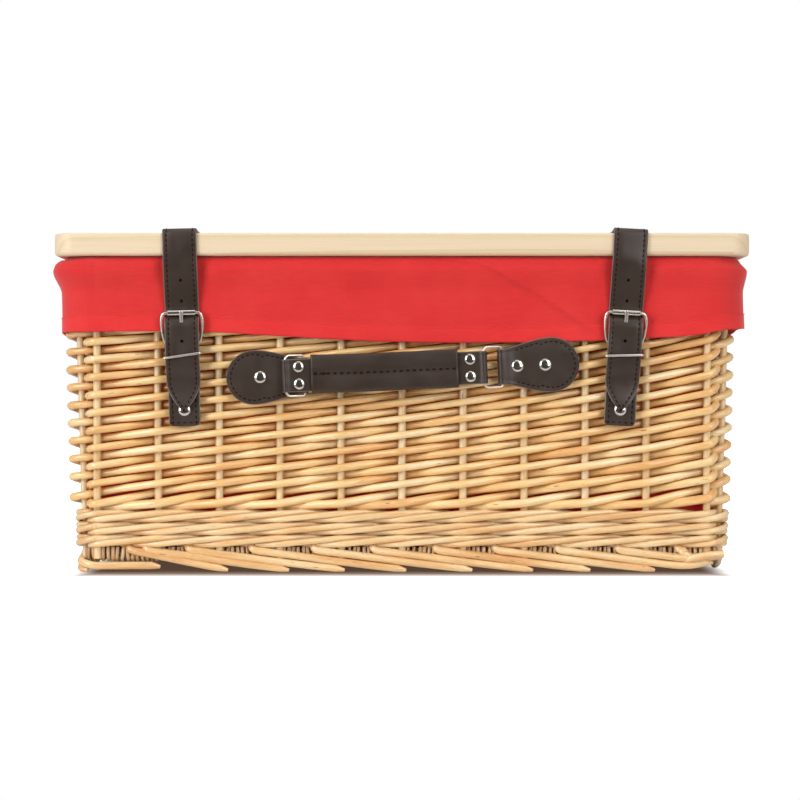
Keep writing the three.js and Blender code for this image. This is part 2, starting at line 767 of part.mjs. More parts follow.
function strapDrop() {
  const half = STRAP_WIDTH / 2;
  const tip = lidUnder - STRAP_TIP_DROP;
  const point = arc(0, 0, 1, 180, 360, 2 * CORNER_STEPS + 2).map(([across, down]) => [
    half * across,
    tip + STRAP_TAPER * (1 + down),
  ]);
  const outline = [[half, lidUnder], [-half, lidUnder], ...point];
  const band = acrossX(new THREE.Shape(ribbon(strapLine, STRAP)), STRAP_WIDTH);
  const front = towardsFront(shapeOf(outline), overChape + STRAP_WIDTH, 2 * STRAP_WIDTH);
  const holes = STRAP_HOLE_DROPS.map((drop) =>
    bar("y", STRAP_HOLE, 2 * STRAP_WIDTH, [0, overChape, lidUnder - drop], WIRE_SIDES),
  );
  return cut(common(band, front), tongue(GAP), ...holes);
}

// The chape: leather folded round the heel bar and riveted to the wall below the buckle. The
// keeper's back bar runs in the pocket between its two layers.
function chape() {
  const bottom = lidUnder - CHAPE_DROP;
  const bore = BUCKLE_WIRE / 2 + BAR_CLEARANCE;
  const [y, z] = heel;
  const profile = shapeOf([
    [chapeBack, bottom],
    [chapeBack, chapeFlat],
    [y + chapeEye, foldBottom],
    ...arc(y, z, chapeEye, 0, 180, 2 * CORNER_STEPS),
    [y - chapeEye, foldBottom],
    [chapeFront, chapeFlat],
    [chapeFront, bottom],
  ]);
  const pocket = [
    [y + bore, pocketBottom],
    ...arc(y, z, bore, 0, 180, 2 * CORNER_STEPS),
    [y - bore, pocketBottom],
    [y, pocketBottom - 2 * CHAPE_LAYER],
  ];
  profile.holes.push(new THREE.Path(pocket.map(([u, v]) => new THREE.Vector2(u, v))));
  const half = CHAPE_WIDTH / 2;
  const neck = CHAPE_NECK / 2;
  const shoulder = z - CHAPE_NECK_LENGTH;
  const outline = [
    [half - CHAPE_CORNER, bottom],
    [half, bottom + CHAPE_CORNER],
    [half, shoulder - 2 * CHAPE_CORNER],
    [neck, shoulder],
    [neck, lidUnder],
    [-neck, lidUnder],
    [-neck, shoulder],
    [-half, shoulder - 2 * CHAPE_CORNER],
    [-half, bottom + CHAPE_CORNER],
    [CHAPE_CORNER - half, bottom],
  ];
  const body = common(
    acrossX(profile, CHAPE_WIDTH),
    towardsFront(shapeOf(outline), y + STRAP_WIDTH, 2 * STRAP_WIDTH),
  );
  const slot = new THREE.BoxGeometry(PRONG_WIDTH + 2 * GAP, STRAP_WIDTH, CHAPE_SLOT);
  slot.translate(0, y, z + CHAPE_SLOT_RISE);
  return cut(body, slot, rivetHole(0, y, chapeRivetZ, STRAP_WIDTH));
}

// The wire frame of the buckle, bent in the plane of its two bars.
function buckleFrame() {
  const side = (BUCKLE_WIDTH - BUCKLE_WIRE) / 2;
  const from = inSideView(heel);
  const up = inSideView(topBar).sub(from);
  const reach = up.length();
  up.normalize();
  const path = [
    ...arc(side - BUCKLE_HEEL_CORNER, BUCKLE_HEEL_CORNER, BUCKLE_HEEL_CORNER, -90, 0, 3),
    ...arc(side - BUCKLE_TOP_CORNER, reach - BUCKLE_TOP_CORNER, BUCKLE_TOP_CORNER, 0, 90, 2),
    ...arc(BUCKLE_TOP_CORNER - side, reach - BUCKLE_TOP_CORNER, BUCKLE_TOP_CORNER, 90, 180, 2),
    ...arc(BUCKLE_HEEL_CORNER - side, BUCKLE_HEEL_CORNER, BUCKLE_HEEL_CORNER, 180, 270, 3),
  ].map(([x, s]) => from.clone().addScaledVector(up, s).setX(x));
  return closedWire(path, BUCKLE_WIRE, up.clone().cross(X));
}

function roller() {
  const centre = [0, ...topBar];
  const body = bar("x", ROLLER_DIAMETER, ROLLER_LENGTH, centre, RIVET_SIDES);
  return cut(body, bar("x", ROLLER_BORE, 2 * ROLLER_LENGTH, centre));
}

function prong() {
  const centre = [0, ...heel];
  const eye = bar("x", PRONG_EYE, PRONG_WIDTH, centre, RIVET_SIDES);
  const bore = bar("x", PRONG_EYE_BORE, 2 * PRONG_WIDTH, centre);
  return cut(join(eye, tongue(0)), bore);
}

function keeper() {
  const half = KEEPER_WIDTH / 2 - KEEPER_WIRE / 2;
  const middle = (heel[0] + keeperFront) / 2;
  const reach = (heel[0] - keeperFront) / 2;
  const path = roundedOutline(half - KEEPER_CORNER, reach - KEEPER_CORNER, KEEPER_CORNER, 2).map(
    ([x, y]) => new THREE.Vector3(x, y + middle, keeperZ),
  );
  return closedWire(path, KEEPER_WIRE, Z);
}

// The strap's tail down the back, which the lid's rear edge bends as it opens.
const onBackWall = (z) => -wallFace(z) + GAP + STRAP / 2;
const tailLine = [
  [lidRear + GAP + STRAP / 2, lidUnder - GAP / 2],
  [GAP + STRAP / 2 - skirtFace(skirtBottom), skirtBottom],
  ...[skirtBottom - HINGE_TAIL_SETTLE, lidUnder - HINGE_TAIL_DROP].map((z) => [onBackWall(z), z]),
];

function hingeTail() {
  const strap = acrossX(new THREE.Shape(ribbon(tailLine, STRAP)), STRAP_WIDTH);
  const holes = TAIL_RIVET_DROPS.map((drop) => rivetHole(0, lidRear, lidUnder - drop, STRAP_WIDTH));
  return cut(strap, ...holes);
}

// A rivet through the front wall, in the frame of its own group.
function frontRivet(face, z, capDiameter, capRise, groupY) {
  const back = wallInside(z) + GAP - groupY;
  return rivet(face, back, capDiameter, capRise, true);
}

function lidScrew() {
  const head = LID_SCREW_HEAD / 2;
  const profile = [
    [0, LID_SCREW_LENGTH + STRAP + GAP],
    [LID_SCREW / 2, LID_SCREW_LENGTH + STRAP],
    [LID_SCREW / 2, 0],
    ...domedCap(2 * head, LID_SCREW_HEAD_RISE, 0),
    [0, -LID_SCREW_HEAD_RISE],
  ];
  return turned(profile).rotateX(-Math.PI / 2);
}

// The handle set, in the handle's own frame: x along the handle, y = 0 on the backs of the tabs.
const ringDrop = RING_LINK * Math.sin(rad(RING_REST_DEG));
const ringRun = RING_LINK * Math.cos(rad(RING_REST_DEG));
const tabFold = 2 * TAB_LAYER;
const tabPivotX = TAB_PIVOT_SPAN / 2;
const handlePivotY = -tabFold - ringDrop;
const handleMiddle = -ringRun;
const handleTilt = rad(HANDLE_TILT_DEG);
const tabEndRise = (tabPivotX + TAB_REACH) * Math.abs(Math.sin(handleTilt));
const handleY = wallFace(HANDLE_Z + tabEndRise + TAB_RADIUS) - GAP;

// A tab with its fold round a ring at x = 0 and its round end at negative x.
function handleTab() {
  const bore = RING_WIRE / 2 + BAR_CLEARANCE;
  const end = TAB_REACH + TAB_RADIUS;
  const profile = shapeOf([
    [-end, 0],
    [-end, -tabFold],
    [-2 * tabFold, -tabFold],
    ...arc(0, -tabFold, tabFold, TAB_FOLD_FROM_DEG, TAB_FOLD_TO_DEG, 2 * CORNER_STEPS + 1),
  ]);
  const height = 2 * TAB_RADIUS;
  const throughTab = 4 * tabFold;
  const body = new THREE.ExtrudeGeometry(profile, { depth: height, bevelEnabled: false });
  body.translate(0, 0, -height / 2);
  const neck = TAB_NECK / 2;
  const meet = THREE.MathUtils.radToDeg(Math.asin(neck / TAB_RADIUS));
  const round = arc(-TAB_REACH, 0, TAB_RADIUS, meet, 360 - meet, TAB_ROUND_SIDES);
  const outline = [[2 * tabFold, -neck], [2 * tabFold, neck], ...round];
  const plan = towardsFront(shapeOf(outline), tabFold, throughTab);
  const eye = bar("z", 2 * bore, 2 * height, [0, -tabFold, 0], ROUND_SIDES);
  const holes = [TAB_RIVET_INNER, TAB_RIVET_OUTER].map((x) => rivetHole(-x, 0, 0, throughTab));
  return cut(common(body, plan), eye, ...holes);
}

// A wire ring from the tab's fold at the origin to the handle's eye one link away.
function handleRing() {
  const half = (RING_HEIGHT - RING_WIRE) / 2;
  const way = new THREE.Vector3(-ringRun, -ringDrop, 0).normalize();
  const path = [
    ...arc(RING_CORNER, RING_CORNER - half, RING_CORNER, 180, 270, 2),
    [RING_LINK - RING_CHAMFER, -half],
    [RING_LINK, RING_CHAMFER - half],
    [RING_LINK, half - RING_CHAMFER],
    [RING_LINK - RING_CHAMFER, half],
    ...arc(RING_CORNER, half - RING_CORNER, RING_CORNER, 90, 180, 2),
  ].map(([s, z]) => way.clone().multiplyScalar(s).setZ(z));
  return closedWire(path, RING_WIRE, way.clone().cross(Z));
}

// The handle's strap, with an eye round a ring at each end, about x = 0 and y = 0.
function handleStrap() {
  const eye = RING_WIRE / 2 + BAR_CLEARANCE + HANDLE_LAYER;
  const bore = 2 * (RING_WIRE / 2 + BAR_CLEARANCE);
  const body = new THREE.BoxGeometry(TAB_PIVOT_SPAN, 2 * HANDLE_LAYER, HANDLE_STRAP_WIDTH);
  const ends = [-tabPivotX, tabPivotX];
  const eyes = ends.map((x) => bar("z", 2 * eye, HANDLE_STRAP_WIDTH, [x, 0, 0]));
  const bores = ends.map((x) => bar("z", bore, 2 * HANDLE_STRAP_WIDTH, [x, 0, 0]));
  const holes = ends.flatMap((x) =>
    [-1, 1].map((s) =>
      rivetHole(x - Math.sign(x) * HANDLE_RIVET_FROM_PIVOT, 0, (s * HANDLE_RIVET_PITCH) / 2, 4 * eye),
    ),
  );
  return cut(join(body, ...eyes), ...bores, ...holes);
}

// The padded grip sewn round the middle of the handle's strap.
function handleSleeve() {
  const u = GRIP_THICKNESS / 2;
  const v = GRIP_HEIGHT / 2;
  const r = GRIP_ROUND;
  const profile = shapeOf([
    ...arc(u - r, r - v, r, -90, 0, 2),
    ...arc(u - r, v - r, r, 0, 90, 2),
    ...arc(r - u, v - r, r, 90, 180, 2),
    ...arc(r - u, r - v, r, 180, 270, 2),
  ]);
  const innerU = HANDLE_LAYER + GAP;
  const innerV = HANDLE_STRAP_WIDTH / 2 + GAP;
  profile.holes.push(
    new THREE.Path(
      [
        [innerU, -innerV],
        [innerU, innerV],
        [-innerU, innerV],
        [-innerU, -innerV],
      ].map(([a, b]) => new THREE.Vector2(a, b)),
    ),
  );
  return acrossX(profile, GRIP_LENGTH);
}

// Everything fastened through the walls needs its holes in the woven sides.
function wallHoles() {
  const through = 4 * STRAP_WIDTH;
  const front = [];
  STRAPS.forEach(({ x, lean }) => {
    const hole = rivetHole(0, 0, chapeRivetZ - leanZ, through);
    front.push(hole.rotateY(lean).translate(x, lidFront, leanZ));
  });
  [-1, 1].forEach((s) => {
    [TAB_RIVET_INNER, TAB_RIVET_OUTER].forEach((along) => {
      const hole = rivetHole(s * (tabPivotX + along), 0, 0, through);
      front.push(hole.rotateY(handleTilt).translate(HANDLE_X, lidFront, HANDLE_Z));
    });
  });
  const back = STRAPS.flatMap(({ x }) =>
    TAIL_RIVET_DROPS.map((drop) => rivetHole(x, lidRear, lidUnder - drop, through)),
  );
  return { front, back };
}

const willow = { color: 0xe0b87c, roughness: 0.62, metalness: 0 };
const pine = { color: 0xecdaba, roughness: 0.55, metalness: 0 };
const cloth = { color: 0xe23c3a, roughness: 0.9, metalness: 0 };
const leather = { color: 0x463a35, roughness: 0.5, metalness: 0 };
const nickel = { color: 0xc9c6c0, roughness: 0.25, metalness: 1 };

const STRAPS = [
  { side: "left", x: LEFT_STRAP_FROM_END - LID_LENGTH / 2, lean: rad(LEFT_STRAP_LEAN_DEG) },
  { side: "right", x: LID_LENGTH / 2 - RIGHT_STRAP_FROM_END, lean: rad(RIGHT_STRAP_LEAN_DEG) },
];

const hamper = new THREE.Group();

function piece(name, geometry, finish, parent = hamper) {
  const mesh = new THREE.Mesh(geometry, new THREE.MeshStandardMaterial(finish));
  mesh.name = name;
  parent.add(mesh);
  return mesh;
}

const holes = wallHoles();
piece("base_panel", basePanel(), willow);
piece("foot_border", footBorder(), willow);
piece("wale_band", waleBand(), willow);
SIDES.forEach((side, i) => {
  const wall = wovenSide(side, SIDES[(i + 3) % 4]);
  piece(`${side.name}_weave`, cut(wall, ...(holes[side.name] ?? [])), willow);
});
piece("rim_border", rimBorder(), willow);
piece("lining", liningCloth(), cloth);
piece("lid_board", lidBoard(), pine);

for (const { side, x, lean } of STRAPS) {
  piece(`${side}_lid_strap`, lidStrap(x, lean), leather);
  lidScrewYs.forEach((y, i) => {
    const screw = piece(`${side}_lid_screw_${i ? "rear" : "front"}`, lidScrew(), nickel);
    screw.position.set(x, y, strapTopLine + STRAP / 2 + GAP);
  });

  // The front of each strap set leans about the top of the lid's front edge.
  const leaning = new THREE.Group();
  leaning.position.set(x, 0, leanZ);
  leaning.rotation.y = lean;
  const set = new THREE.Group();
  set.position.z = -leanZ;
  leaning.add(set);
  hamper.add(leaning);
  piece(`${side}_strap_drop`, strapDrop(), leather, set);
  piece(`${side}_chape`, chape(), leather, set);
  piece(`${side}_buckle_frame`, buckleFrame(), nickel, set);
  piece(`${side}_roller`, roller(), nickel, set);
  piece(`${side}_prong`, prong(), nickel, set);
  piece(`${side}_keeper`, keeper(), nickel, set);
  const chapeRivet = frontRivet(chapeFront - GAP, chapeRivetZ, RIVET_CAP, RIVET_CAP_RISE, 0);
  piece(`${side}_chape_rivet`, chapeRivet, nickel, set).position.z = chapeRivetZ;

  const tail = new THREE.Group();
  tail.position.x = x;
  hamper.add(tail);
  piece(`${side}_hinge_tail`, hingeTail(), leather, tail);
  TAIL_RIVET_DROPS.forEach((drop, i) => {
    const z = lidUnder - drop;
    const face = -(onBackWall(z) + STRAP / 2 + GAP);
    const body = frontRivet(face, z, RIVET_CAP, RIVET_CAP_RISE, 0).rotateZ(Math.PI);
    const name = `${side}_tail_rivet_${i ? "lower" : "upper"}`;
    piece(name, body, nickel, tail).position.z = z;
  });
}

const handleSet = new THREE.Group();
handleSet.position.set(HANDLE_X, handleY, HANDLE_Z);
handleSet.rotation.y = handleTilt;
hamper.add(handleSet);

["left", "right"].forEach((side, i) => {
  const out = i ? 1 : -1;
  const tab = i ? handleTab().rotateY(Math.PI) : handleTab();
  piece(`${side}_handle_tab`, tab, leather, handleSet).position.x = out * tabPivotX;
  const ring = piece(`${side}_ring`, handleRing(), nickel, handleSet);
  ring.position.set(out * tabPivotX, -tabFold, 0);
  const rivets = [
    ["inner", TAB_RIVET_INNER, SMALL_RIVET_CAP, SMALL_RIVET_CAP_RISE],
    ["outer", TAB_RIVET_OUTER, SMALL_RIVET_CAP, SMALL_RIVET_CAP_RISE],
  ];
  rivets.forEach(([place, along, cap, rise]) => {
    const x = out * (tabPivotX + along);
    const z = HANDLE_Z - x * Math.sin(handleTilt);
    const body = frontRivet(-tabFold - GAP, z, cap, rise, handleY);
    piece(`${side}_tab_rivet_${place}`, body, nickel, handleSet).position.x = x;
  });
  [1, -1].forEach((s) => {
    const front = -HANDLE_LAYER - GAP;
    const body = rivet(front, HANDLE_LAYER, SMALL_RIVET_CAP, SMALL_RIVET_CAP_RISE, false);
    const name = `${side}_handle_rivet_${s > 0 ? "upper" : "lower"}`;
    piece(name, body, nickel, handleSet).position.set(
      handleMiddle + out * (tabPivotX - HANDLE_RIVET_FROM_PIVOT),
      handlePivotY,
      (s * HANDLE_RIVET_PITCH) / 2,
    );
  });
});
piece("handle_strap", handleStrap(), leather, handleSet).position.set(handleMiddle, handlePivotY, 0);
piece("handle_sleeve", handleSleeve(), leather, handleSet).position.set(handleMiddle, handlePivotY, 0);

export default hamper;
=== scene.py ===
"""A wicker hamper with a plank lid, a cloth lining, buckled straps and a carrying handle."""

import math

import bmesh
import bpy
import numpy as np
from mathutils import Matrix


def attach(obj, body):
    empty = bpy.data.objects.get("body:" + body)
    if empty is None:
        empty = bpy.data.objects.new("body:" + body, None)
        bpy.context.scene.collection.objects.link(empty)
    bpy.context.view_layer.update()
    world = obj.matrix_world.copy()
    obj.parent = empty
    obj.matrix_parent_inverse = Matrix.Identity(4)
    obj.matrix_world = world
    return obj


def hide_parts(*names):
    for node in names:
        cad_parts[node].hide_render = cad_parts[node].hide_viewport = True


bl_info = {
    "name": "Wicker hamper",
    "version": (1, 0, 0),
    "blender": (4, 5, 0),
    "location": "View3D > Sidebar > Hamper",
    "description": "Dresses a wicker hamper in rods, cloth, leather and nickel",
    "category": "Add Mesh",
}

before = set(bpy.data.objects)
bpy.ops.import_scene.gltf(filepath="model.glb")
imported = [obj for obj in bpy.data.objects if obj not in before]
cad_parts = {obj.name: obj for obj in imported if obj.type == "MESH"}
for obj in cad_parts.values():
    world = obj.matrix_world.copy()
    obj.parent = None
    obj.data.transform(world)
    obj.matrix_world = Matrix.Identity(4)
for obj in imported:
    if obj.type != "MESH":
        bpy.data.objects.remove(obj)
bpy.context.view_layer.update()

# Lengths are in millimetres up to the making of each mesh.
MM = 0.001

# The body, as it is in the solids
TAPER = math.tan(math.radians(1.6))
CORNER_X = 224.5
CORNER_Y = 144.5
RIM_RADIUS = 15.7
LID_UNDER = 232.0
LID_TOP = 248.5
LID_LENGTH = 510.0
LID_DEPTH = 350.0
LID_CORNER = 16.0
RIM_TOP = 230.5
WEAVE_TOP = 219.2
WALE_BOTTOM = 18.5
WALE_TOP = 44.9
BASE_UNDER = 9.1
BASE_TOP = 18.2
ROD_OUT = 7.8
CLOTH = 0.9
GAPS_LONG = 10
GAPS_SHORT = 6
GAPS = 2 * (GAPS_LONG + GAPS_SHORT + 2)

# The straps: where each stands along the front and how it leans, in degrees
STRAPS = {"left": (-162.2, -1.4), "right": (166.8, 3.2)}
LEAN_FROM = 249.8
STRAP_WIDTH = 25.0
STRAP = 2.0
STRAP_TOP = 249.8

# The buckles, as y and z: the heel bar, the top bar and the prong's tip
HEEL = (-170.886, 168.2)
TOP_BAR = (-173.394, 190.3)
PRONG_TIP = (-177.78, 192.17)

# Where keepers, chapes, rivets and screws stand
KEEPER_Z = 159.0
KEEPER_FRONT = -177.35
CHAPE_RIVET_Z = 119.5
CHAPE_FRONT = -169.134
TAIL_RIVETS_Z = (150.0, 130.0)
SCREWS_Y = (-63.0, 145.0)

# The handle set, in its own frame, which leans with the handle
HANDLE_AT = (0.55, -166.645, 148.0)
HANDLE_LEAN = -2.5
TAB_PIVOT = 72.25
TAB_REACH = 36.8
TAB_RADIUS = 20.0
TAB_NECK = 13.0
TAB_FOLD = 3.0
TAB_RIVETS = (11.6, 32.0)
LINK = 14.5
LINK_ANGLE = math.radians(24)
LINK_RUN = LINK * math.cos(LINK_ANGLE)
LINK_DROP = LINK * math.sin(LINK_ANGLE)
HANDLE_Y = -TAB_FOLD - LINK_DROP
RING_WIRE = 1.9

# Directions
TO_FRONT = (0.0, -1.0, 0.0)
TO_BACK = (0.0, 1.0, 0.0)
UPWARDS = (0.0, 0.0, 1.0)


# Colour, mesh and line helpers


def linear(hex_colour):
    """The linear RGBA of a colour written as sRGB hex."""
    parts = [int(hex_colour[i : i + 2], 16) / 255 for i in (0, 2, 4)]
    return tuple(p / 12.92 if p <= 0.04045 else ((p + 0.055) / 1.055) ** 2.4 for p in parts) + (1.0,)


def add(tree, kind, inputs=None, **settings):
    """Adds a node with its settings, and sets or links its inputs."""
    node = tree.nodes.new(kind)
    for name, value in settings.items():
        setattr(node, name, value)
    for key, value in (inputs or {}).items():
        if isinstance(value, bpy.types.NodeSocket):
            tree.links.new(value, node.inputs[key])
        else:
            node.inputs[key].default_value = value
    return node


def mesh_piece(name, points, faces, material, smooth=True):
    """A mesh object from points in millimetres, with its place in the mesh."""
    mesh = bpy.data.meshes.new(name)
    mesh.from_pydata([tuple(c * MM for c in p) for p in points], [], faces)
    mesh.materials.append(material)
    if smooth:
        mesh.shade_smooth()
    else:
        mesh.shade_flat()
    obj = bpy.data.objects.new(name, mesh)
    bpy.context.scene.collection.objects.link(obj)
    return obj


def facing_out(obj, merge=0.0):
    """Merges doubles where asked and turns every face outwards."""
    made = bmesh.new()
    made.from_mesh(obj.data)
    if merge:
        bmesh.ops.remove_doubles(made, verts=made.verts, dist=merge * MM)
    bmesh.ops.recalc_face_normals(made, faces=made.faces)
    made.to_mesh(obj.data)
    made.free()
    return obj


def apply_modifiers(obj):
    """Makes the modifiers' result the object's own mesh."""
    graph = bpy.context.evaluated_depsgraph_get()
    made = bpy.data.meshes.new_from_object(obj.evaluated_get(graph), depsgraph=graph)
    obj.modifiers.clear()
    old = obj.data
    obj.data = made
    made.name = old.name
    bpy.data.meshes.remove(old)
    return obj


def sharp_above(obj, degrees):
    """Smooth shading, with edges sharper than this angle kept crisp."""
    obj.data.set_sharp_from_angle(angle=math.radians(degrees))
    return obj


def settle(obj, body, slot, *nodes):
    """The piece rides on its body and stands for its solids, which are hidden; its slot is not used.
    """
    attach(obj, body)
    if nodes:
        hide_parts(*nodes)
    return obj


def drop(obj):
    """Removes a piece and its mesh."""
    mesh = obj.data
    bpy.data.objects.remove(obj)
    bpy.data.meshes.remove(mesh)


def cut_with(obj, cutter):
    """Cuts the second object out of the first and removes it."""
    cut = obj.modifiers.new("Cut", "BOOLEAN")
    cut.operation = "DIFFERENCE"
    cut.solver = "EXACT"
    cut.object = cutter
    apply_modifiers(obj)
    drop(cutter)
    return obj


def smooth_line(points, rounds=3):
    """The same line with its corners rounded, its ends kept."""
    line = np.array(points, float)
    for _ in range(rounds):
        a, b = line[:-1], line[1:]
        inner = np.empty((2 * len(a), line.shape[1]))
        inner[0::2] = 0.75 * a + 0.25 * b
        inner[1::2] = 0.25 * a + 0.75 * b
        line = np.vstack([line[:1], inner[1:-1], line[-1:]])
    return line


def spaced(line, stations):
    """Points of a line at the given distances along it."""
    steps = np.linalg.norm(np.diff(line, axis=0), axis=1)
    along = np.concatenate([[0], np.cumsum(steps)])
    return np.stack([np.interp(stations, along, line[:, i]) for i in range(line.shape[1])], 1)


def length_of(line):
    """The whole length of a line."""
    return float(np.linalg.norm(np.diff(line, axis=0), axis=1).sum())


def arc(u, v, radius, start, end, steps):
    """Points of an arc in a plane, angles in degrees."""
    angles = np.radians(np.linspace(start, end, steps + 1))
    return [(u + radius * math.cos(a), v + radius * math.sin(a)) for a in angles]


def rounded_box(half_x, half_y, radius, steps):
    """Points round a box with rounded corners, from its front right corner."""
    loop = []
    for sx, sy, start in ((1, -1, -90), (1, 1, 0), (-1, 1, 90), (-1, -1, 180)):
        x, y = sx * (half_x - radius), sy * (half_y - radius)
        loop += arc(x, y, radius, start, start + 90, steps)
    return loop


def plane_normals(line, closed=False):
    """The direction to the left of a line in a plane, at each of its points."""
    if closed:
        tangent = np.roll(line, -1, 0) - np.roll(line, 1, 0)
    else:
        tangent = np.gradient(line, axis=0)
    tangent /= np.maximum(np.linalg.norm(tangent, axis=1), 1e-9)[:, None]
    return np.stack([-tangent[:, 1], tangent[:, 0]], 1)


def strap_lean(side, points):
    """Points of a strap set, given about x = 0, leaned and moved to their place."""
    x0, lean = STRAPS[side]
    turn = math.radians(lean)
    p = np.array(points, float)
    z = p[..., 2] - LEAN_FROM
    x = p[..., 0] * math.cos(turn) + z * math.sin(turn) + x0
    up = LEAN_FROM + z * math.cos(turn) - p[..., 0] * math.sin(turn)
    return np.stack([x, p[..., 1], up], -1)


def handle_lean(points):
    """Points of the handle set's own frame in the hamper's frame."""
    turn = math.radians(HANDLE_LEAN)
    p = np.array(points, float)
    x = p[..., 0] * math.cos(turn) + p[..., 2] * math.sin(turn) + HANDLE_AT[0]
    z = p[..., 2] * math.cos(turn) - p[..., 0] * math.sin(turn) + HANDLE_AT[2]
    return np.stack([x, p[..., 1] + HANDLE_AT[1], z], -1)


def lofted(name, rings, material, closed=False, edge=None):
    """A closed skin through rings of the same number of points, its ends filled.

    With closed it goes on round to the first ring. Edge is the share of cut edge at each point
    of a ring.
    """
    rings = np.array(rings, float)
    count, around = rings.shape[:2]
    faces = []
    for i in range(count if closed else count - 1):
        j = (i + 1) % count
        for k in range(around):
            m = (k + 1) % around
            faces.append((i * around + k, i * around + m, j * around + m, j * around + k))
    if not closed:
        faces.append(tuple(range(around - 1, -1, -1)))
        faces.append(tuple((count - 1) * around + k for k in range(around)))
    obj = mesh_piece(name, rings.reshape(-1, 3), faces, material)
    if edge is not None:
        store_on(obj.data, "edge", "FLOAT", np.tile(edge, count))
    return facing_out(obj, 0.001)


def wire(name, path, diameter, material, across, closed=True, sides=14):
    """A round wire along a path that lies in one plane; across is that plane's normal."""
    path = np.array(path, float)
    across = np.array(across, float) / np.linalg.norm(across)
    after = np.roll(path, -1, 0) if closed else np.vstack([path[1:], 2 * path[-1:] - path[-2:-1]])
    before = np.roll(path, 1, 0) if closed else np.vstack([2 * path[:1] - path[1:2], path[:-1]])
    tangent = after - before
    tangent /= np.linalg.norm(tangent, axis=1)[:, None]
    side = np.cross(tangent, across)
    angles = np.linspace(0, 2 * math.pi, sides, endpoint=False)
    radius = diameter / 2
    rings = (
        path[:, None]
        + radius * np.cos(angles)[None, :, None] * side[:, None]
        + radius * np.sin(angles)[None, :, None] * across[None, None]
    )
    return lofted(name, rings, material, closed)


def turned(name, profile, place, material, sides=32):
    """A turned piece from (radius, height) pairs; place maps its points to the hamper."""
    angles = np.linspace(0, 2 * math.pi, sides, endpoint=False)
    rings = [[(r * math.cos(a), r * math.sin(a), h) for a in angles] for r, h in profile]
    return lofted(name, place(np.array(rings)), material)


# A leather band: its section has rounded edges and a shallow crease for the stitches.
# The edge is given as steps inwards and heights, the crease by its place and half its width.
EDGE_STEPS = ((0.0, 0.0), (0.08, 0.5), (0.3, 0.82), (0.75, 0.98))
STITCH_IN = 3.0
CREASE_HALF = 0.7
CREASE_DEEP = 0.14
# Between its creases a band swells by this share of its half thickness.
BAND_CROWN = 0.02
# Below this half width a band's edge is rounded less, and no band gets narrower than the next.
FULL_HALF = 4.0
LEAST_HALF = 0.15
# The cut edge starts half a millimetre in and is bare from 0.25 mm further out.
CUT_EDGE = 0.5
CUT_FADE = 0.25


def band_section(half, thickness):
    """One closed section as (across, height) pairs, height from -1 to 1."""
    scale = min(1.0, half / FULL_HALF)
    low = 1.0 - 2 * CREASE_DEEP / thickness
    inner = [(STITCH_IN - CREASE_HALF, 1.0), (STITCH_IN, low), (STITCH_IN + CREASE_HALF, 1.0)]
    steps = [(half - d * scale, h) for d, h in [*EDGE_STEPS, *inner]]
    middle = [(half * f * 0.5, 1.0 + BAND_CROWN * (1 - f)) for f in (0.8, 0.4)]
    right = [*steps, *middle]
    top = [*right, (0.0, 1.0 + BAND_CROWN), *[(-a, h) for a, h in reversed(right)]]
    return [*top, *[(a, -h) for a, h in reversed(top[1:-1])]]


def band_rings(line, halves, thickness, closed=False):
    """Sections along a line in a plane: arrays of (u, v, across)."""
    line = np.array(line, float)
    rings = []
    for point, out, half in zip(line, plane_normals(line, closed), halves):
        section = band_section(max(half, LEAST_HALF), thickness)
        rings.append([(*(point + out * h * thickness / 2), a) for a, h in section])
    return np.array(rings)


def band(name, line, halves, thickness, place, closed=False):
    """A leather band along a line in a plane; place maps (u, v, across) to the hamper."""
    rings = place(band_rings(line, halves, thickness, closed))
    section = np.array(band_section(STRAP_WIDTH / 2, thickness))
    cut = np.clip((np.abs(section[:, 0]) - STRAP_WIDTH / 2 + CUT_EDGE) / CUT_FADE, 0, 1)
    return lofted(name, rings, finish_of("brown_leather"), closed, edge=cut)


# Materials


def tint(name):
    """A colour that the user can change."""
    return tuple(getattr(bpy.context.scene.hamper_colours, name))


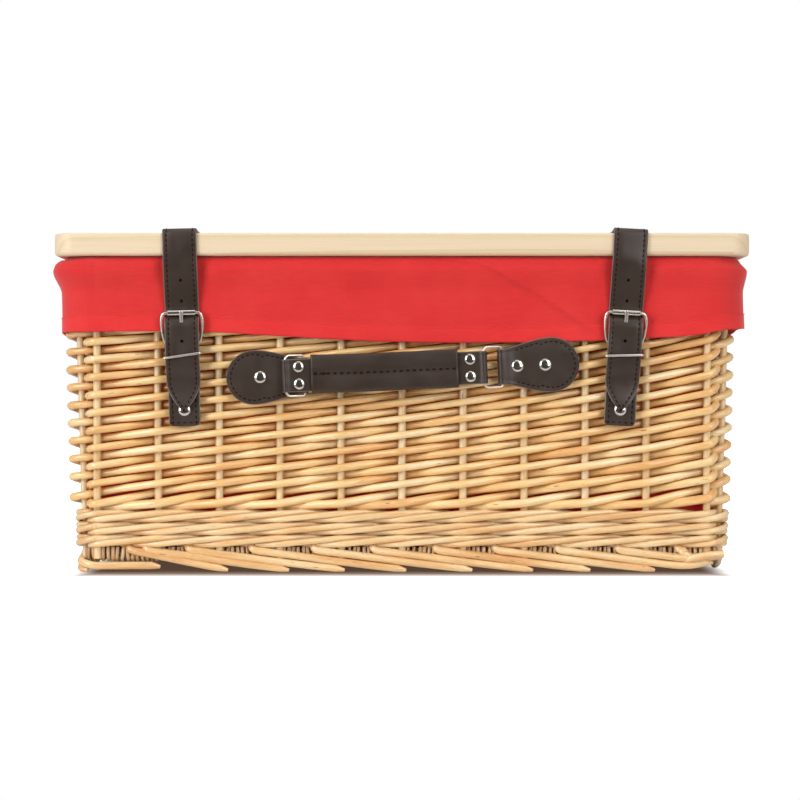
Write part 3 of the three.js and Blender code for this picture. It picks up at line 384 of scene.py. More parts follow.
def wood_rods(tree, light, middle, shade, roughness):
    """Peeled willow: honey coloured skin, fine streaks along each rod, a low varnish sheen."""
    round_it = add(tree, "ShaderNodeAttribute", attribute_name="turn")
    along = add(tree, "ShaderNodeAttribute", attribute_name="along")
    rod = add(tree, "ShaderNodeAttribute", attribute_name="rod")
    # The skin's streaks are about 0.5 mm wide and 12 mm long.
    place = add(
        tree,
        "ShaderNodeVectorMath",
        {0: round_it.outputs["Vector"], 1: (2.2, 2.2, 0.0)},
        operation="MULTIPLY",
    )
    run = add(tree, "ShaderNodeMath", {0: along.outputs["Fac"], 1: 85.0}, operation="MULTIPLY")
    shift = add(tree, "ShaderNodeMath", {0: rod.outputs["Fac"], 1: 7.31}, operation="MULTIPLY")
    offset = add(tree, "ShaderNodeMath", {0: run.outputs[0], 1: shift.outputs[0]}, operation="ADD")
    lift = add(tree, "ShaderNodeCombineXYZ", {"Z": offset.outputs[0]})
    where = add(
        tree, "ShaderNodeVectorMath", {0: place.outputs[0], 1: lift.outputs[0]}, operation="ADD"
    )
    streaks = add(
        tree,
        "ShaderNodeTexNoise",
        {"Vector": where.outputs[0], "Scale": 1.6, "Detail": 4.0, "Roughness": 0.6},
    )
    # Slow changes of tone along a rod, about one in 60 mm
    slow = add(
        tree,
        "ShaderNodeTexNoise",
        {"Vector": where.outputs[0], "Scale": 0.22, "Detail": 2.0, "Roughness": 0.5},
    )
    each = add(tree, "ShaderNodeTexWhiteNoise", {"W": rod.outputs["Fac"]}, noise_dimensions="1D")
    tone = add(
        tree,
        "ShaderNodeMapRange",
        {"Value": each.outputs["Value"], "To Min": -0.11, "To Max": 0.11},
    )
    sum_tone = add(
        tree, "ShaderNodeMath", {0: slow.outputs["Fac"], 1: tone.outputs["Result"]}, operation="ADD"
    )
    ramp = add(tree, "ShaderNodeValToRGB", {"Fac": sum_tone.outputs[0]})
    ramp.color_ramp.elements[0].position = 0.3
    ramp.color_ramp.elements[0].color = shade
    ramp.color_ramp.elements[1].position = 0.72
    ramp.color_ramp.elements[1].color = light
    ramp.color_ramp.elements.new(0.5).color = middle
    fine = add(
        tree,
        "ShaderNodeMapRange",
        {
            "Value": streaks.outputs["Fac"], "From Min": 0.3, "From Max": 0.7, "To Min": 0.86,
            "To Max": 1.06,
        },
    )
    skin = add(
        tree,
        "ShaderNodeMix",
        {"Factor": 1.0, "A": ramp.outputs["Color"], "B": fine.outputs["Result"]},
        data_type="RGBA",
        blend_type="MULTIPLY",
    )
    # Leaf scars: small brown specks, a few to a rod
    scars = add(
        tree,
        "ShaderNodeTexNoise",
        {"Vector": where.outputs[0], "Scale": 1.1, "Detail": 1.0},
        noise_dimensions="3D",
    )
    speck = add(
        tree,
        "ShaderNodeMapRange",
        {"Value": scars.outputs["Fac"], "From Min": 0.735, "From Max": 0.80},
    )
    marked = add(
        tree,
        "ShaderNodeMix",
        {"Factor": speck.outputs["Result"], "A": skin.outputs["Result"], "B": linear("8a5a30")},
        data_type="RGBA",
    )
    bump = add(
        tree,
        "ShaderNodeBump",
        {"Strength": 0.35, "Distance": 0.0003, "Height": streaks.outputs["Fac"]},
    )
    shader = add(
        tree,
        "ShaderNodeBsdfPrincipled",
        {
            "Base Color": marked.outputs["Result"],
            "Roughness": roughness,
            "IOR": 1.48,
            "Coat Weight": 1.0,
            "Coat Roughness": 0.25,
            "Coat IOR": 1.6,
            "Normal": bump.outputs["Normal"],
        },
    )
    add(tree, "ShaderNodeOutputMaterial", {"Surface": shader.outputs[0]})


def planed_pine(tree):
    """Planed pine plank: pale, with year rings that show as lines along the plank, satin."""
    place = add(tree, "ShaderNodeTexCoord")
    # The heart of the tree lies behind and below the plank, so its rings cross the edge slowly.
    heart = add(
        tree,
        "ShaderNodeMapping",
        {
            "Vector": place.outputs["Object"], "Location": (0.0, 0.31, -0.12),
            "Scale": (0.045, 1.0, 1.0),
        },
    )
    bend = add(
        tree,
        "ShaderNodeTexNoise",
        {"Vector": heart.outputs[0], "Scale": 14.0, "Detail": 3.0, "Roughness": 0.5},
    )
    # Year rings are about 3.4 mm apart.
    rings = add(
        tree,
        "ShaderNodeTexWave",
        {"Vector": heart.outputs[0], "Scale": 46.0, "Distortion": 0.0, "Phase Offset": 0.0},
        wave_type="RINGS",
        rings_direction="X",
        wave_profile="SAW",
    )
    swing = add(tree, "ShaderNodeMath", {0: bend.outputs["Fac"], 1: 26.0}, operation="MULTIPLY")
    tree.links.new(swing.outputs[0], rings.inputs["Phase Offset"])
    fibre_place = add(
        tree,
        "ShaderNodeMapping",
        {"Vector": place.outputs["Object"], "Scale": (12.0, 900.0, 900.0)},
    )
    fibres = add(
        tree,
        "ShaderNodeTexNoise",
        {"Vector": fibre_place.outputs[0], "Scale": 1.0, "Detail": 3.0, "Roughness": 0.6},
    )
    line = add(
        tree,
        "ShaderNodeMapRange",
        {
            "Value": rings.outputs["Fac"], "From Min": 0.55, "From Max": 1.0, "To Min": 0.0,
            "To Max": 0.5,
        },
    )
    pale = add(
        tree,
        "ShaderNodeMix",
        {"Factor": line.outputs["Result"], "A": tint("pine"), "B": tint("pine_rings")},
        data_type="RGBA",
    )
    grain = add(
        tree,
        "ShaderNodeMapRange",
        {
            "Value": fibres.outputs["Fac"], "From Min": 0.3, "From Max": 0.7, "To Min": 0.95,
            "To Max": 1.03,
        },
    )
    wood = add(
        tree,
        "ShaderNodeMix",
        {"Factor": 1.0, "A": pale.outputs["Result"], "B": grain.outputs["Result"]},
        data_type="RGBA",
        blend_type="MULTIPLY",
    )
    bump = add(
        tree,
        "ShaderNodeBump",
        {"Strength": 0.15, "Distance": 0.0002, "Height": fibres.outputs["Fac"]},
    )
    shader = add(
        tree,
        "ShaderNodeBsdfPrincipled",
        {
            "Base Color": wood.outputs["Result"],
            "Roughness": 0.48,
            "IOR": 1.48,
            "Normal": bump.outputs["Normal"],
        },
    )
    add(tree, "ShaderNodeOutputMaterial", {"Surface": shader.outputs[0]})


def red_cotton(tree):
    """Plain woven cotton: matt, with a faint cross of threads and slightly uneven dye."""
    flat = add(tree, "ShaderNodeAttribute", attribute_name="cloth")
    # Threads are 0.45 mm apart in the real cloth; 0.9 mm is as fine as shows here.
    thread = 2 * math.pi / 0.9
    split = add(tree, "ShaderNodeSeparateXYZ", {"Vector": flat.outputs["Vector"]})
    warp_at = add(tree, "ShaderNodeMath", {0: split.outputs["X"], 1: thread}, operation="MULTIPLY")
    weft_at = add(tree, "ShaderNodeMath", {0: split.outputs["Y"], 1: thread}, operation="MULTIPLY")
    warp = add(tree, "ShaderNodeMath", {0: warp_at.outputs[0]}, operation="SINE")
    weft = add(tree, "ShaderNodeMath", {0: weft_at.outputs[0]}, operation="SINE")
    threads = add(tree, "ShaderNodeMath", {0: warp.outputs[0], 1: weft.outputs[0]}, operation="ADD")
    # Thicker weft threads show as streaks about 10 mm long and 1 mm wide.
    weft_run = add(
        tree,
        "ShaderNodeVectorMath",
        {0: flat.outputs["Vector"], 1: (0.14, 1.0, 1.0)},
        operation="MULTIPLY",
    )
    slub = add(
        tree,
        "ShaderNodeTexNoise",
        {"Vector": weft_run.outputs[0], "Scale": 0.55, "Detail": 5.0, "Roughness": 0.68},
    )
    cloud = add(
        tree,
        "ShaderNodeTexNoise",
        {"Vector": flat.outputs["Vector"], "Scale": 0.025, "Detail": 3.0, "Roughness": 0.55},
    )
    dye = add(
        tree,
        "ShaderNodeMix",
        {"Factor": cloud.outputs["Fac"], "A": tint("cloth_deep"), "B": tint("cloth_light")},
        data_type="RGBA",
    )
    doubled = add(tree, "ShaderNodeAttribute", attribute_name="doubled")
    fuller = add(
        tree, "ShaderNodeMapRange", {"Value": doubled.outputs["Fac"], "To Min": 1.0, "To Max": 1.09}
    )
    depth = add(
        tree,
        "ShaderNodeMapRange",
        {
            "Value": slub.outputs["Fac"], "From Min": 0.3, "From Max": 0.7, "To Min": 0.94,
            "To Max": 1.04,
        },
    )
    density = add(
        tree,
        "ShaderNodeMath",
        {0: depth.outputs["Result"], 1: fuller.outputs["Result"]},
        operation="MULTIPLY",
    )
    colour = add(
        tree,
        "ShaderNodeMix",
        {"Factor": 1.0, "A": dye.outputs["Result"], "B": density.outputs[0]},
        data_type="RGBA",
        blend_type="MULTIPLY",
    )
    height = add(
        tree,
        "ShaderNodeMath",
        {0: threads.outputs[0], 1: 0.2, 2: slub.outputs["Fac"]},
        operation="MULTIPLY_ADD",
    )
    bump = add(
        tree, "ShaderNodeBump", {"Strength": 0.35, "Distance": 0.0003, "Height": height.outputs[0]}
    )
    shader = add(
        tree,
        "ShaderNodeBsdfPrincipled",
        {
            "Base Color": colour.outputs["Result"],
            "Roughness": 0.85,
            "IOR": 1.4,
            "Specular IOR Level": 0.25,
            "Sheen Weight": 0.25,
            "Sheen Roughness": 0.5,
            "Normal": bump.outputs["Normal"],
        },
    )
    add(tree, "ShaderNodeOutputMaterial", {"Surface": shader.outputs[0]})


def brown_leather(tree):
    """Smooth finished cowhide: dark brown, satin over a fine grain, with paler cut edges."""
    place = add(tree, "ShaderNodeTexCoord")
    # The grain's pebbles are about 0.6 mm across.
    pebbles = add(
        tree,
        "ShaderNodeTexVoronoi",
        {"Vector": place.outputs["Object"], "Scale": 1600.0, "Randomness": 1.0},
        feature="SMOOTH_F1",
    )
    creases = add(
        tree,
        "ShaderNodeTexNoise",
        {"Vector": place.outputs["Object"], "Scale": 380.0, "Detail": 5.0, "Roughness": 0.6},
    )
    wear = add(
        tree,
        "ShaderNodeTexNoise",
        {"Vector": place.outputs["Object"], "Scale": 45.0, "Detail": 4.0, "Roughness": 0.6},
    )
    tone = add(
        tree,
        "ShaderNodeMix",
        {"Factor": wear.outputs["Fac"], "A": tint("leather_dark"), "B": tint("leather_light")},
        data_type="RGBA",
    )
    cut = add(tree, "ShaderNodeAttribute", attribute_name="edge")
    skin = add(
        tree,
        "ShaderNodeMix",
        {"Factor": cut.outputs["Fac"], "A": tone.outputs["Result"], "B": tint("leather_edge")},
        data_type="RGBA",
    )
    gloss = add(
        tree,
        "ShaderNodeMapRange",
        {
            "Value": wear.outputs["Fac"], "From Min": 0.3, "From Max": 0.7, "To Min": 0.36,
            "To Max": 0.48,
        },
    )
    height = add(
        tree,
        "ShaderNodeMath",
        {0: pebbles.outputs["Distance"], 1: 0.5, 2: creases.outputs["Fac"]},
        operation="MULTIPLY_ADD",
    )
    # The hide isn't quite flat: soft swells 20 to 30 mm across catch the light.
    swell = add(
        tree,
        "ShaderNodeTexNoise",
        {"Vector": place.outputs["Object"], "Scale": 36.0, "Detail": 1.0, "Roughness": 0.4},
    )
    uneven = add(
        tree, "ShaderNodeBump", {"Strength": 0.6, "Distance": 0.005, "Height": swell.outputs["Fac"]}
    )
    bump = add(
        tree,
        "ShaderNodeBump",
        {
            "Strength": 0.3,
            "Distance": 0.00018,
            "Height": height.outputs[0],
            "Normal": uneven.outputs["Normal"],
        },
    )
    shader = add(
        tree,
        "ShaderNodeBsdfPrincipled",
        {
            "Base Color": skin.outputs["Result"],
            "Roughness": gloss.outputs["Result"],
            "IOR": 1.5,
            "Normal": bump.outputs["Normal"],
        },
    )
    add(tree, "ShaderNodeOutputMaterial", {"Surface": shader.outputs[0]})


def nickel_plate(tree, smooth, dull):
    """Nickel plate on steel: warm grey, polished on the caps and tumbled to a satin on the wires."""
    place = add(tree, "ShaderNodeTexCoord")
    scuffs = add(
        tree,
        "ShaderNodeTexNoise",
        {"Vector": place.outputs["Object"], "Scale": 520.0, "Detail": 4.0, "Roughness": 0.6},
    )
    gloss = add(
        tree,
        "ShaderNodeMapRange",
        {
            "Value": scuffs.outputs["Fac"], "From Min": 0.35, "From Max": 0.7, "To Min": smooth,
            "To Max": dull,
        },
    )
    bump = add(
        tree,
        "ShaderNodeBump",
        {"Strength": 0.08, "Distance": 0.0001, "Height": scuffs.outputs["Fac"]},
    )
    shader = add(
        tree,
        "ShaderNodeBsdfPrincipled",
        {
            "Base Color": tint("nickel"),
            "Metallic": 1.0,
            "Roughness": gloss.outputs["Result"],
            "Normal": bump.outputs["Normal"],
        },
    )
    add(tree, "ShaderNodeOutputMaterial", {"Surface": shader.outputs[0]})


def waxed_thread(tree, colour):
    """Twisted thread sunk in its holes: matt and dark, or dyed as the cloth is."""
    place = add(tree, "ShaderNodeTexCoord")
    twist = add(
        tree,
        "ShaderNodeTexNoise",
        {"Vector": place.outputs["Object"], "Scale": 2500.0, "Detail": 2.0},
    )
    bump = add(
        tree,
        "ShaderNodeBump",
        {"Strength": 0.4, "Distance": 0.0001, "Height": twist.outputs["Fac"]},
    )
    shader = add(
        tree,
        "ShaderNodeBsdfPrincipled",
        {
            "Base Color": colour,
            "Roughness": 0.9,
            "Specular IOR Level": 0.1,
            "Normal": bump.outputs["Normal"],
        },
    )
    add(tree, "ShaderNodeOutputMaterial", {"Surface": shader.outputs[0]})


# How far out the painted shadow round the hamper on the floor begins and ends, aside and ahead, in
# metres
PAINTED_SHADOW_ASIDE = (0.222, 0.252)
PAINTED_SHADOW_AHEAD = (0.163, 0.226)
PAPER_WHITE = (0.8, 0.8, 0.8, 1.0)
# Painted shadow: the paper's colour close round the hamper, and a faint brownish painted glow that
# stands in for light bounced into that shadow
PAINTED_SHADOW_PAPER = (0.14, 0.11, 0.09, 1.0)
PAINTED_SHADOW_GLOW = (0.09, 0.055, 0.035, 1.0)
WHITE = (1.0, 1.0, 1.0, 1.0)


def studio_floor(tree):
    """Matt white paper: seen as white, with a painted shadow and a faint painted glow in a narrow
    strip round the hamper.
    """
    path = add(tree, "ShaderNodeLightPath")
    through = add(
        tree,
        "ShaderNodeMath",
        {0: path.outputs["Is Camera Ray"], 1: path.outputs["Is Transmission Ray"]},
        operation="MAXIMUM",
    )
    place = add(tree, "ShaderNodeTexCoord")
    axes = add(tree, "ShaderNodeSeparateXYZ", {"Vector": place.outputs["Object"]})
    across = add(tree, "ShaderNodeMath", {0: axes.outputs["X"]}, operation="ABSOLUTE")
    along = add(tree, "ShaderNodeMath", {0: axes.outputs["Y"]}, operation="ABSOLUTE")
    # The white room lights the paper evenly. In a narrow strip round the hamper the paper's colour is
    # painted darker as a shadow, on top of the real shade that its diffuse light gets.
    aside = add(
        tree,
        "ShaderNodeMapRange",
        {"Value": across.outputs[0], "From Min": PAINTED_SHADOW_ASIDE[0], "From Max": PAINTED_SHADOW_ASIDE[1]},
        interpolation_type="SMOOTHSTEP",
    )
    ahead = add(
        tree,
        "ShaderNodeMapRange",
        {"Value": along.outputs[0], "From Min": PAINTED_SHADOW_AHEAD[0], "From Max": PAINTED_SHADOW_AHEAD[1]},
        interpolation_type="SMOOTHSTEP",
    )
    outside_painted_shadow = add(
        tree,
        "ShaderNodeMath",
        {0: aside.outputs["Result"], 1: ahead.outputs["Result"]},
        operation="MAXIMUM",
    )
    paper = add(tree, "ShaderNodeBsdfDiffuse", {"Color": PAPER_WHITE})
    # Painted shadow: the paper is darker close round the hamper.
    painted_shadow_tone = add(
        tree,
        "ShaderNodeMix",
        {"Factor": outside_painted_shadow.outputs[0], "A": PAINTED_SHADOW_PAPER, "B": PAPER_WHITE},
        data_type="RGBA",
    )
    shade = add(tree, "ShaderNodeBsdfDiffuse", {"Color": painted_shadow_tone.outputs["Result"]})
    # Painted glow: white on the open floor, dim and brownish in the painted shadow.
    lift = add(
        tree,
        "ShaderNodeMix",
        {"Factor": outside_painted_shadow.outputs[0], "A": PAINTED_SHADOW_GLOW, "B": WHITE},
        data_type="RGBA",
    )
    glow = add(tree, "ShaderNodeEmission", {"Color": lift.outputs["Result"]})
    white = add(tree, "ShaderNodeAddShader", {0: shade.outputs[0], 1: glow.outputs[0]})
    shown = add(
        tree,
        "ShaderNodeMixShader",
        {0: through.outputs[0], 1: paper.outputs[0], 2: white.outputs[0]},
    )
    add(tree, "ShaderNodeOutputMaterial", {"Surface": shown.outputs[0]})


def willow(tree, light, middle, shade, roughness):
    """Peeled willow in three tones written as sRGB hex."""
    wood_rods(tree, linear(light), linear(middle), linear(shade), roughness)


def skinned_willow(tree):
    """The walls' willow, in the tones that the user can change."""
    wood_rods(tree, tint("willow_light"), tint("willow"), tint("willow_shade"), 0.42)


MAKERS = {
    "peeled_willow": skinned_willow,
    "foot_willow": lambda tree: willow(tree, "f2d5a6", "ecc388", "dfa566", 0.42),
    "stake_willow": lambda tree: willow(tree, "f5deb4", "efcf9a", "e3b87c", 0.46),
    # The base's willow is a darker copy of the same willow: painted shade under the foot.
    "shaded_willow": lambda tree: willow(tree, "dcbc8c", "c89f6a", "ac7c4a", 0.5),
    "planed_pine": planed_pine,
    "red_cotton": red_cotton,
    "brown_leather": brown_leather,
    "bright_nickel": lambda tree: nickel_plate(tree, 0.1, 0.2),
    "satin_nickel": lambda tree: nickel_plate(tree, 0.27, 0.36),
    "rolled_nickel": lambda tree: nickel_plate(tree, 0.17, 0.24),
    "brown_thread": lambda tree: waxed_thread(tree, tint("leather_thread")),
    "red_thread": lambda tree: waxed_thread(tree, tint("hem_thread")),
    "studio_floor": studio_floor,
}
MATERIALS = {}


def finish_of(name):
    """The material of that name, made when it is first asked for."""
    if name not in MATERIALS:
        material = bpy.data.materials.new(name)
        material.use_nodes = True
        material.node_tree.nodes.clear()
        MAKERS[name](material.node_tree)
        MATERIALS[name] = material
    return MATERIALS[name]


# Geometry node trees


def rod_tree():
    """Rods that pass in front of and behind the stakes, from guide lines."""
    tree = bpy.data.node_groups.new("Laid rods", "GeometryNodeTree")
    face = tree.interface
    face.new_socket("Guides", in_out="INPUT", socket_type="NodeSocketGeometry")
    face.new_socket("Rod diameter", in_out="INPUT", socket_type="NodeSocketFloat")
    face.new_socket("Reach", in_out="INPUT", socket_type="NodeSocketFloat")
    face.new_socket("Sides", in_out="INPUT", socket_type="NodeSocketInt")
    face.new_socket("Unevenness", in_out="INPUT", socket_type="NodeSocketFloat")
    face.new_socket("Seed", in_out="INPUT", socket_type="NodeSocketFloat")
    face.new_socket("Material", in_out="INPUT", socket_type="NodeSocketMaterial")
    face.new_socket("Rods", in_out="OUTPUT", socket_type="NodeSocketGeometry")
    given = add(tree, "NodeGroupInput")
    lines = add(tree, "GeometryNodeMeshToCurve", {"Mesh": given.outputs["Guides"]})
    out = add(tree, "GeometryNodeInputNamedAttribute", {"Name": "out"}, data_type="FLOAT_VECTOR")
    sway = add(tree, "GeometryNodeInputNamedAttribute", {"Name": "sway"}, data_type="FLOAT")
    thick = add(tree, "GeometryNodeInputNamedAttribute", {"Name": "thick"}, data_type="FLOAT")
    rod = add(tree, "GeometryNodeInputNamedAttribute", {"Name": "rod"}, data_type="FLOAT")
    reach = add(
        tree,
        "ShaderNodeMath",
        {0: sway.outputs["Attribute"], 1: given.outputs["Reach"]},
        operation="MULTIPLY",
    )
    lean_out = add(
        tree,
        "ShaderNodeVectorMath",
        {0: out.outputs["Attribute"], "Scale": reach.outputs[0]},
        operation="SCALE",
    )
    here = add(tree, "GeometryNodeInputPosition")
    seeded = add(
        tree,
        "ShaderNodeMath",
        {0: rod.outputs["Attribute"], 1: given.outputs["Seed"]},
        operation="ADD",
    )
    wander = add(
        tree,
        "ShaderNodeTexNoise",
        {"Vector": here.outputs[0], "W": seeded.outputs[0], "Scale": 22.0, "Detail": 1.0},
        noise_dimensions="4D",
    )
    centred = add(
        tree,
        "ShaderNodeVectorMath",
        {0: wander.outputs["Color"], 1: (0.5, 0.5, 0.5)},
        operation="SUBTRACT",
    )
    uneven = add(
        tree,
        "ShaderNodeVectorMath",
        {0: centred.outputs[0], "Scale": given.outputs["Unevenness"]},
        operation="SCALE",
    )
    move = add(
        tree,
        "ShaderNodeVectorMath",
        {0: lean_out.outputs[0], 1: uneven.outputs[0]},
        operation="ADD",
    )
    placed = add(
        tree, "GeometryNodeSetPosition", {"Geometry": lines.outputs[0], "Offset": move.outputs[0]}
    )
    half = add(
        tree, "ShaderNodeMath", {0: given.outputs["Rod diameter"], 1: 0.5}, operation="MULTIPLY"
    )
    radius = add(
        tree,
        "ShaderNodeMath",
        {0: thick.outputs["Attribute"], 1: half.outputs[0]},
        operation="MULTIPLY",
    )
    ring = add(
        tree,
        "GeometryNodeCurvePrimitiveCircle",
        {"Resolution": given.outputs["Sides"], "Radius": 1.0},
    )
    ring_place = add(tree, "GeometryNodeInputPosition")
    ring_marked = add(
        tree,
        "GeometryNodeStoreNamedAttribute",
        {"Geometry": ring.outputs["Curve"], "Name": "turn", "Value": ring_place.outputs[0]},
        data_type="FLOAT_VECTOR",
        domain="POINT",
    )
    rods = add(
        tree,
        "GeometryNodeCurveToMesh",
        {
            "Curve": placed.outputs[0],
            "Profile Curve": ring_marked.outputs[0],
            "Scale": radius.outputs[0],
            "Fill Caps": True,
        },
    )
    real = add(tree, "GeometryNodeRealizeInstances", {"Geometry": rods.outputs[0]})
    soft = add(tree, "GeometryNodeSetShadeSmooth", {"Geometry": real.outputs[0]})
    dressed = add(
        tree,
        "GeometryNodeSetMaterial",
        {"Geometry": soft.outputs[0], "Material": given.outputs["Material"]},
    )
    add(tree, "NodeGroupOutput", {"Rods": dressed.outputs[0]})
    return tree


def seam_tree():
    """A shape set out along guide lines at an even pitch, such as the stitches of a seam."""
    tree = bpy.data.node_groups.new("Seam", "GeometryNodeTree")
    face = tree.interface
    face.new_socket("Guides", in_out="INPUT", socket_type="NodeSocketGeometry")
    face.new_socket("Shape", in_out="INPUT", socket_type="NodeSocketObject")
    face.new_socket("Pitch", in_out="INPUT", socket_type="NodeSocketFloat")
    face.new_socket("Unevenness", in_out="INPUT", socket_type="NodeSocketFloat")
    face.new_socket("Seed", in_out="INPUT", socket_type="NodeSocketInt")
    face.new_socket("Material", in_out="INPUT", socket_type="NodeSocketMaterial")
    face.new_socket("Stitches", in_out="OUTPUT", socket_type="NodeSocketGeometry")
    given = add(tree, "NodeGroupInput")
    lines = add(tree, "GeometryNodeMeshToCurve", {"Mesh": given.outputs["Guides"]})
    points = add(
        tree,
        "GeometryNodeResampleCurve",
        {"Curve": lines.outputs[0], "Length": given.outputs["Pitch"]},
        mode="LENGTH",
    )
    up = add(tree, "GeometryNodeInputNamedAttribute", {"Name": "out"}, data_type="FLOAT_VECTOR")
    tangent = add(tree, "GeometryNodeInputTangent")
    facing = add(
        tree,
        "FunctionNodeAxesToRotation",
        {0: tangent.outputs[0], 1: up.outputs["Attribute"]},
        primary_axis="X",
        secondary_axis="Z",
    )
    low = add(tree, "ShaderNodeMath", {0: 1.0, 1: given.outputs["Unevenness"]}, operation="SUBTRACT")
    high = add(tree, "ShaderNodeMath", {0: 1.0, 1: given.outputs["Unevenness"]}, operation="ADD")
    size = add(
        tree,
        "FunctionNodeRandomValue",
        {2: low.outputs[0], 3: high.outputs[0], "Seed": given.outputs["Seed"]},
        data_type="FLOAT",
    )
    shape = add(tree, "GeometryNodeObjectInfo", {"Object": given.outputs["Shape"]})
    copies = add(
        tree,
        "GeometryNodeInstanceOnPoints",
        {
            "Points": points.outputs[0],
            "Instance": shape.outputs["Geometry"],
            "Rotation": facing.outputs[0],
            "Scale": size.outputs[1],
        },
    )
    real = add(tree, "GeometryNodeRealizeInstances", {"Geometry": copies.outputs[0]})
    dressed = add(
        tree,
        "GeometryNodeSetMaterial",
        {"Geometry": real.outputs[0], "Material": given.outputs["Material"]},
    )
    add(tree, "NodeGroupOutput", {"Stitches": dressed.outputs[0]})
    return tree


def fastener_tree():
    """A shape set on points, turned to face out and sized by each point."""
    tree = bpy.data.node_groups.new("Fasteners", "GeometryNodeTree")
    face = tree.interface
    face.new_socket("Places", in_out="INPUT", socket_type="NodeSocketGeometry")
    face.new_socket("Shape", in_out="INPUT", socket_type="NodeSocketObject")
    face.new_socket("Size", in_out="INPUT", socket_type="NodeSocketFloat")
    face.new_socket("Material", in_out="INPUT", socket_type="NodeSocketMaterial")
    face.new_socket("Fasteners", in_out="OUTPUT", socket_type="NodeSocketGeometry")
    given = add(tree, "NodeGroupInput")
    points = add(tree, "GeometryNodeMeshToPoints", {"Mesh": given.outputs["Places"]})
    up = add(tree, "GeometryNodeInputNamedAttribute", {"Name": "out"}, data_type="FLOAT_VECTOR")
    big = add(tree, "GeometryNodeInputNamedAttribute", {"Name": "thick"}, data_type="FLOAT")
    facing = add(
        tree, "FunctionNodeAlignRotationToVector", {"Vector": up.outputs["Attribute"]}, axis="Z"
    )
    size = add(
        tree,
        "ShaderNodeMath",
        {0: big.outputs["Attribute"], 1: given.outputs["Size"]},
        operation="MULTIPLY",
    )
    shape = add(tree, "GeometryNodeObjectInfo", {"Object": given.outputs["Shape"]})
    copies = add(
        tree,
        "GeometryNodeInstanceOnPoints",
        {
            "Points": points.outputs[0],
            "Instance": shape.outputs["Geometry"],
            "Rotation": facing.outputs[0],
            "Scale": size.outputs[0],
        },
    )
    real = add(tree, "GeometryNodeRealizeInstances", {"Geometry": copies.outputs[0]})
    dressed = add(
        tree,
        "GeometryNodeSetMaterial",
        {"Geometry": real.outputs[0], "Material": given.outputs["Material"]},
    )
    add(tree, "NodeGroupOutput", {"Fasteners": dressed.outputs[0]})
    return tree


TREE_MAKERS = {"rods": rod_tree, "seam": seam_tree, "fasteners": fastener_tree}
TREES = {}


def tree_of(kind):
    """The node tree of that kind, built when it is first asked for."""
    if kind not in TREES:
        TREES[kind] = TREE_MAKERS[kind]()
    return TREES[kind]


def store_on(mesh, name, kind, values):
    """Stores a value on each point of a mesh: a number, or a vector."""
    slot = {"FLOAT": "value", "FLOAT_VECTOR": "vector"}[kind]
    store = mesh.attributes.new(name, kind, "POINT")
    store.data.foreach_set(slot, np.asarray(values, np.float32).ravel())


def guide_mesh(name, lines):
    """Guide lines as one mesh of edges; each line is a dict of arrays, points in millimetres."""
    points = np.vstack([line["points"] for line in lines]) * MM
    edges = []
    start = 0
    for line in lines:
        count = len(line["points"])
        edges += [(start + i, start + i + 1) for i in range(count - 1)]
        if line.get("closed"):
            edges.append((start + count - 1, start))
        start += count
    mesh = bpy.data.meshes.new(name)
    mesh.from_pydata([tuple(p) for p in points], edges, [])
    for key in ("sway", "thick", "rod", "along"):
        values = [np.broadcast_to(line.get(key, 1.0), len(line["points"])) for line in lines]
        store_on(mesh, key, "FLOAT", np.concatenate(values))
    outs = [np.broadcast_to(line["out"], (len(line["points"]), 3)) for line in lines]
    store_on(mesh, "out", "FLOAT_VECTOR", np.vstack(outs))
    obj = bpy.data.objects.new(name, mesh)
    bpy.context.scene.collection.objects.link(obj)
    return obj


def grown(name, kind, lines, **values):
    """Runs a node tree over guide lines and keeps its result as a plain mesh."""
    obj = guide_mesh(name, lines)
    tree = tree_of(kind)
    modifier = obj.modifiers.new("Grow", "NODES")
    modifier.node_group = tree
    sockets = {s.name: s.identifier for s in tree.interface.items_tree if s.in_out == "INPUT"}
    for label, value in values.items():
        modifier[sockets[label.replace("_", " ")]] = value
    return apply_modifiers(obj)


# Where things stand on the wall


def radius_at(z):
    """The radius of the stake line's corners at a height."""
    return RIM_RADIUS - (LID_UNDER - z) * TAPER


# Where the straight stretches of the stake line end and its corners end, as gap counts from the
# front left stake, and which side and which way it is there
TURNS_AT = np.cumsum((0, GAPS_LONG, 1, GAPS_SHORT, 1, GAPS_LONG, 1, GAPS_SHORT, 1))
TURNS_X = (-1, 1, 1, 1, 1, -1, -1, -1, -1)
TURNS_Y = (-1, -1, -1, 1, 1, 1, 1, -1, -1)
TURNS = (-90, -90, 0, 0, 90, 90, 180, 180, 270)


def around(u, z, offset=0.0):
    """Points and outward directions of the stake line; u counts gaps from the front left stake."""
    u = np.mod(np.asarray(u, float), GAPS)
    z = np.broadcast_to(np.asarray(z, float), u.shape)
    x = CORNER_X * np.interp(u, TURNS_AT, TURNS_X)
    y = CORNER_Y * np.interp(u, TURNS_AT, TURNS_Y)
    angle = np.radians(np.interp(u, TURNS_AT, TURNS))
    out = np.stack([np.cos(angle), np.sin(angle), np.zeros(u.shape)], -1)
    reach = radius_at(z) + offset
    points = np.stack([x + out[..., 0] * reach, y + out[..., 1] * reach, z], -1)
    return points, out


def gap_lengths():
    """The length of each gap along the stake line near the foot."""
    corner = radius_at(WALE_BOTTOM) * math.pi / 2
    long_gap = 2 * CORNER_X / GAPS_LONG
    short_gap = 2 * CORNER_Y / GAPS_SHORT
    half = [long_gap] * GAPS_LONG + [corner] + [short_gap] * GAPS_SHORT + [corner]
    return np.array(half + half)


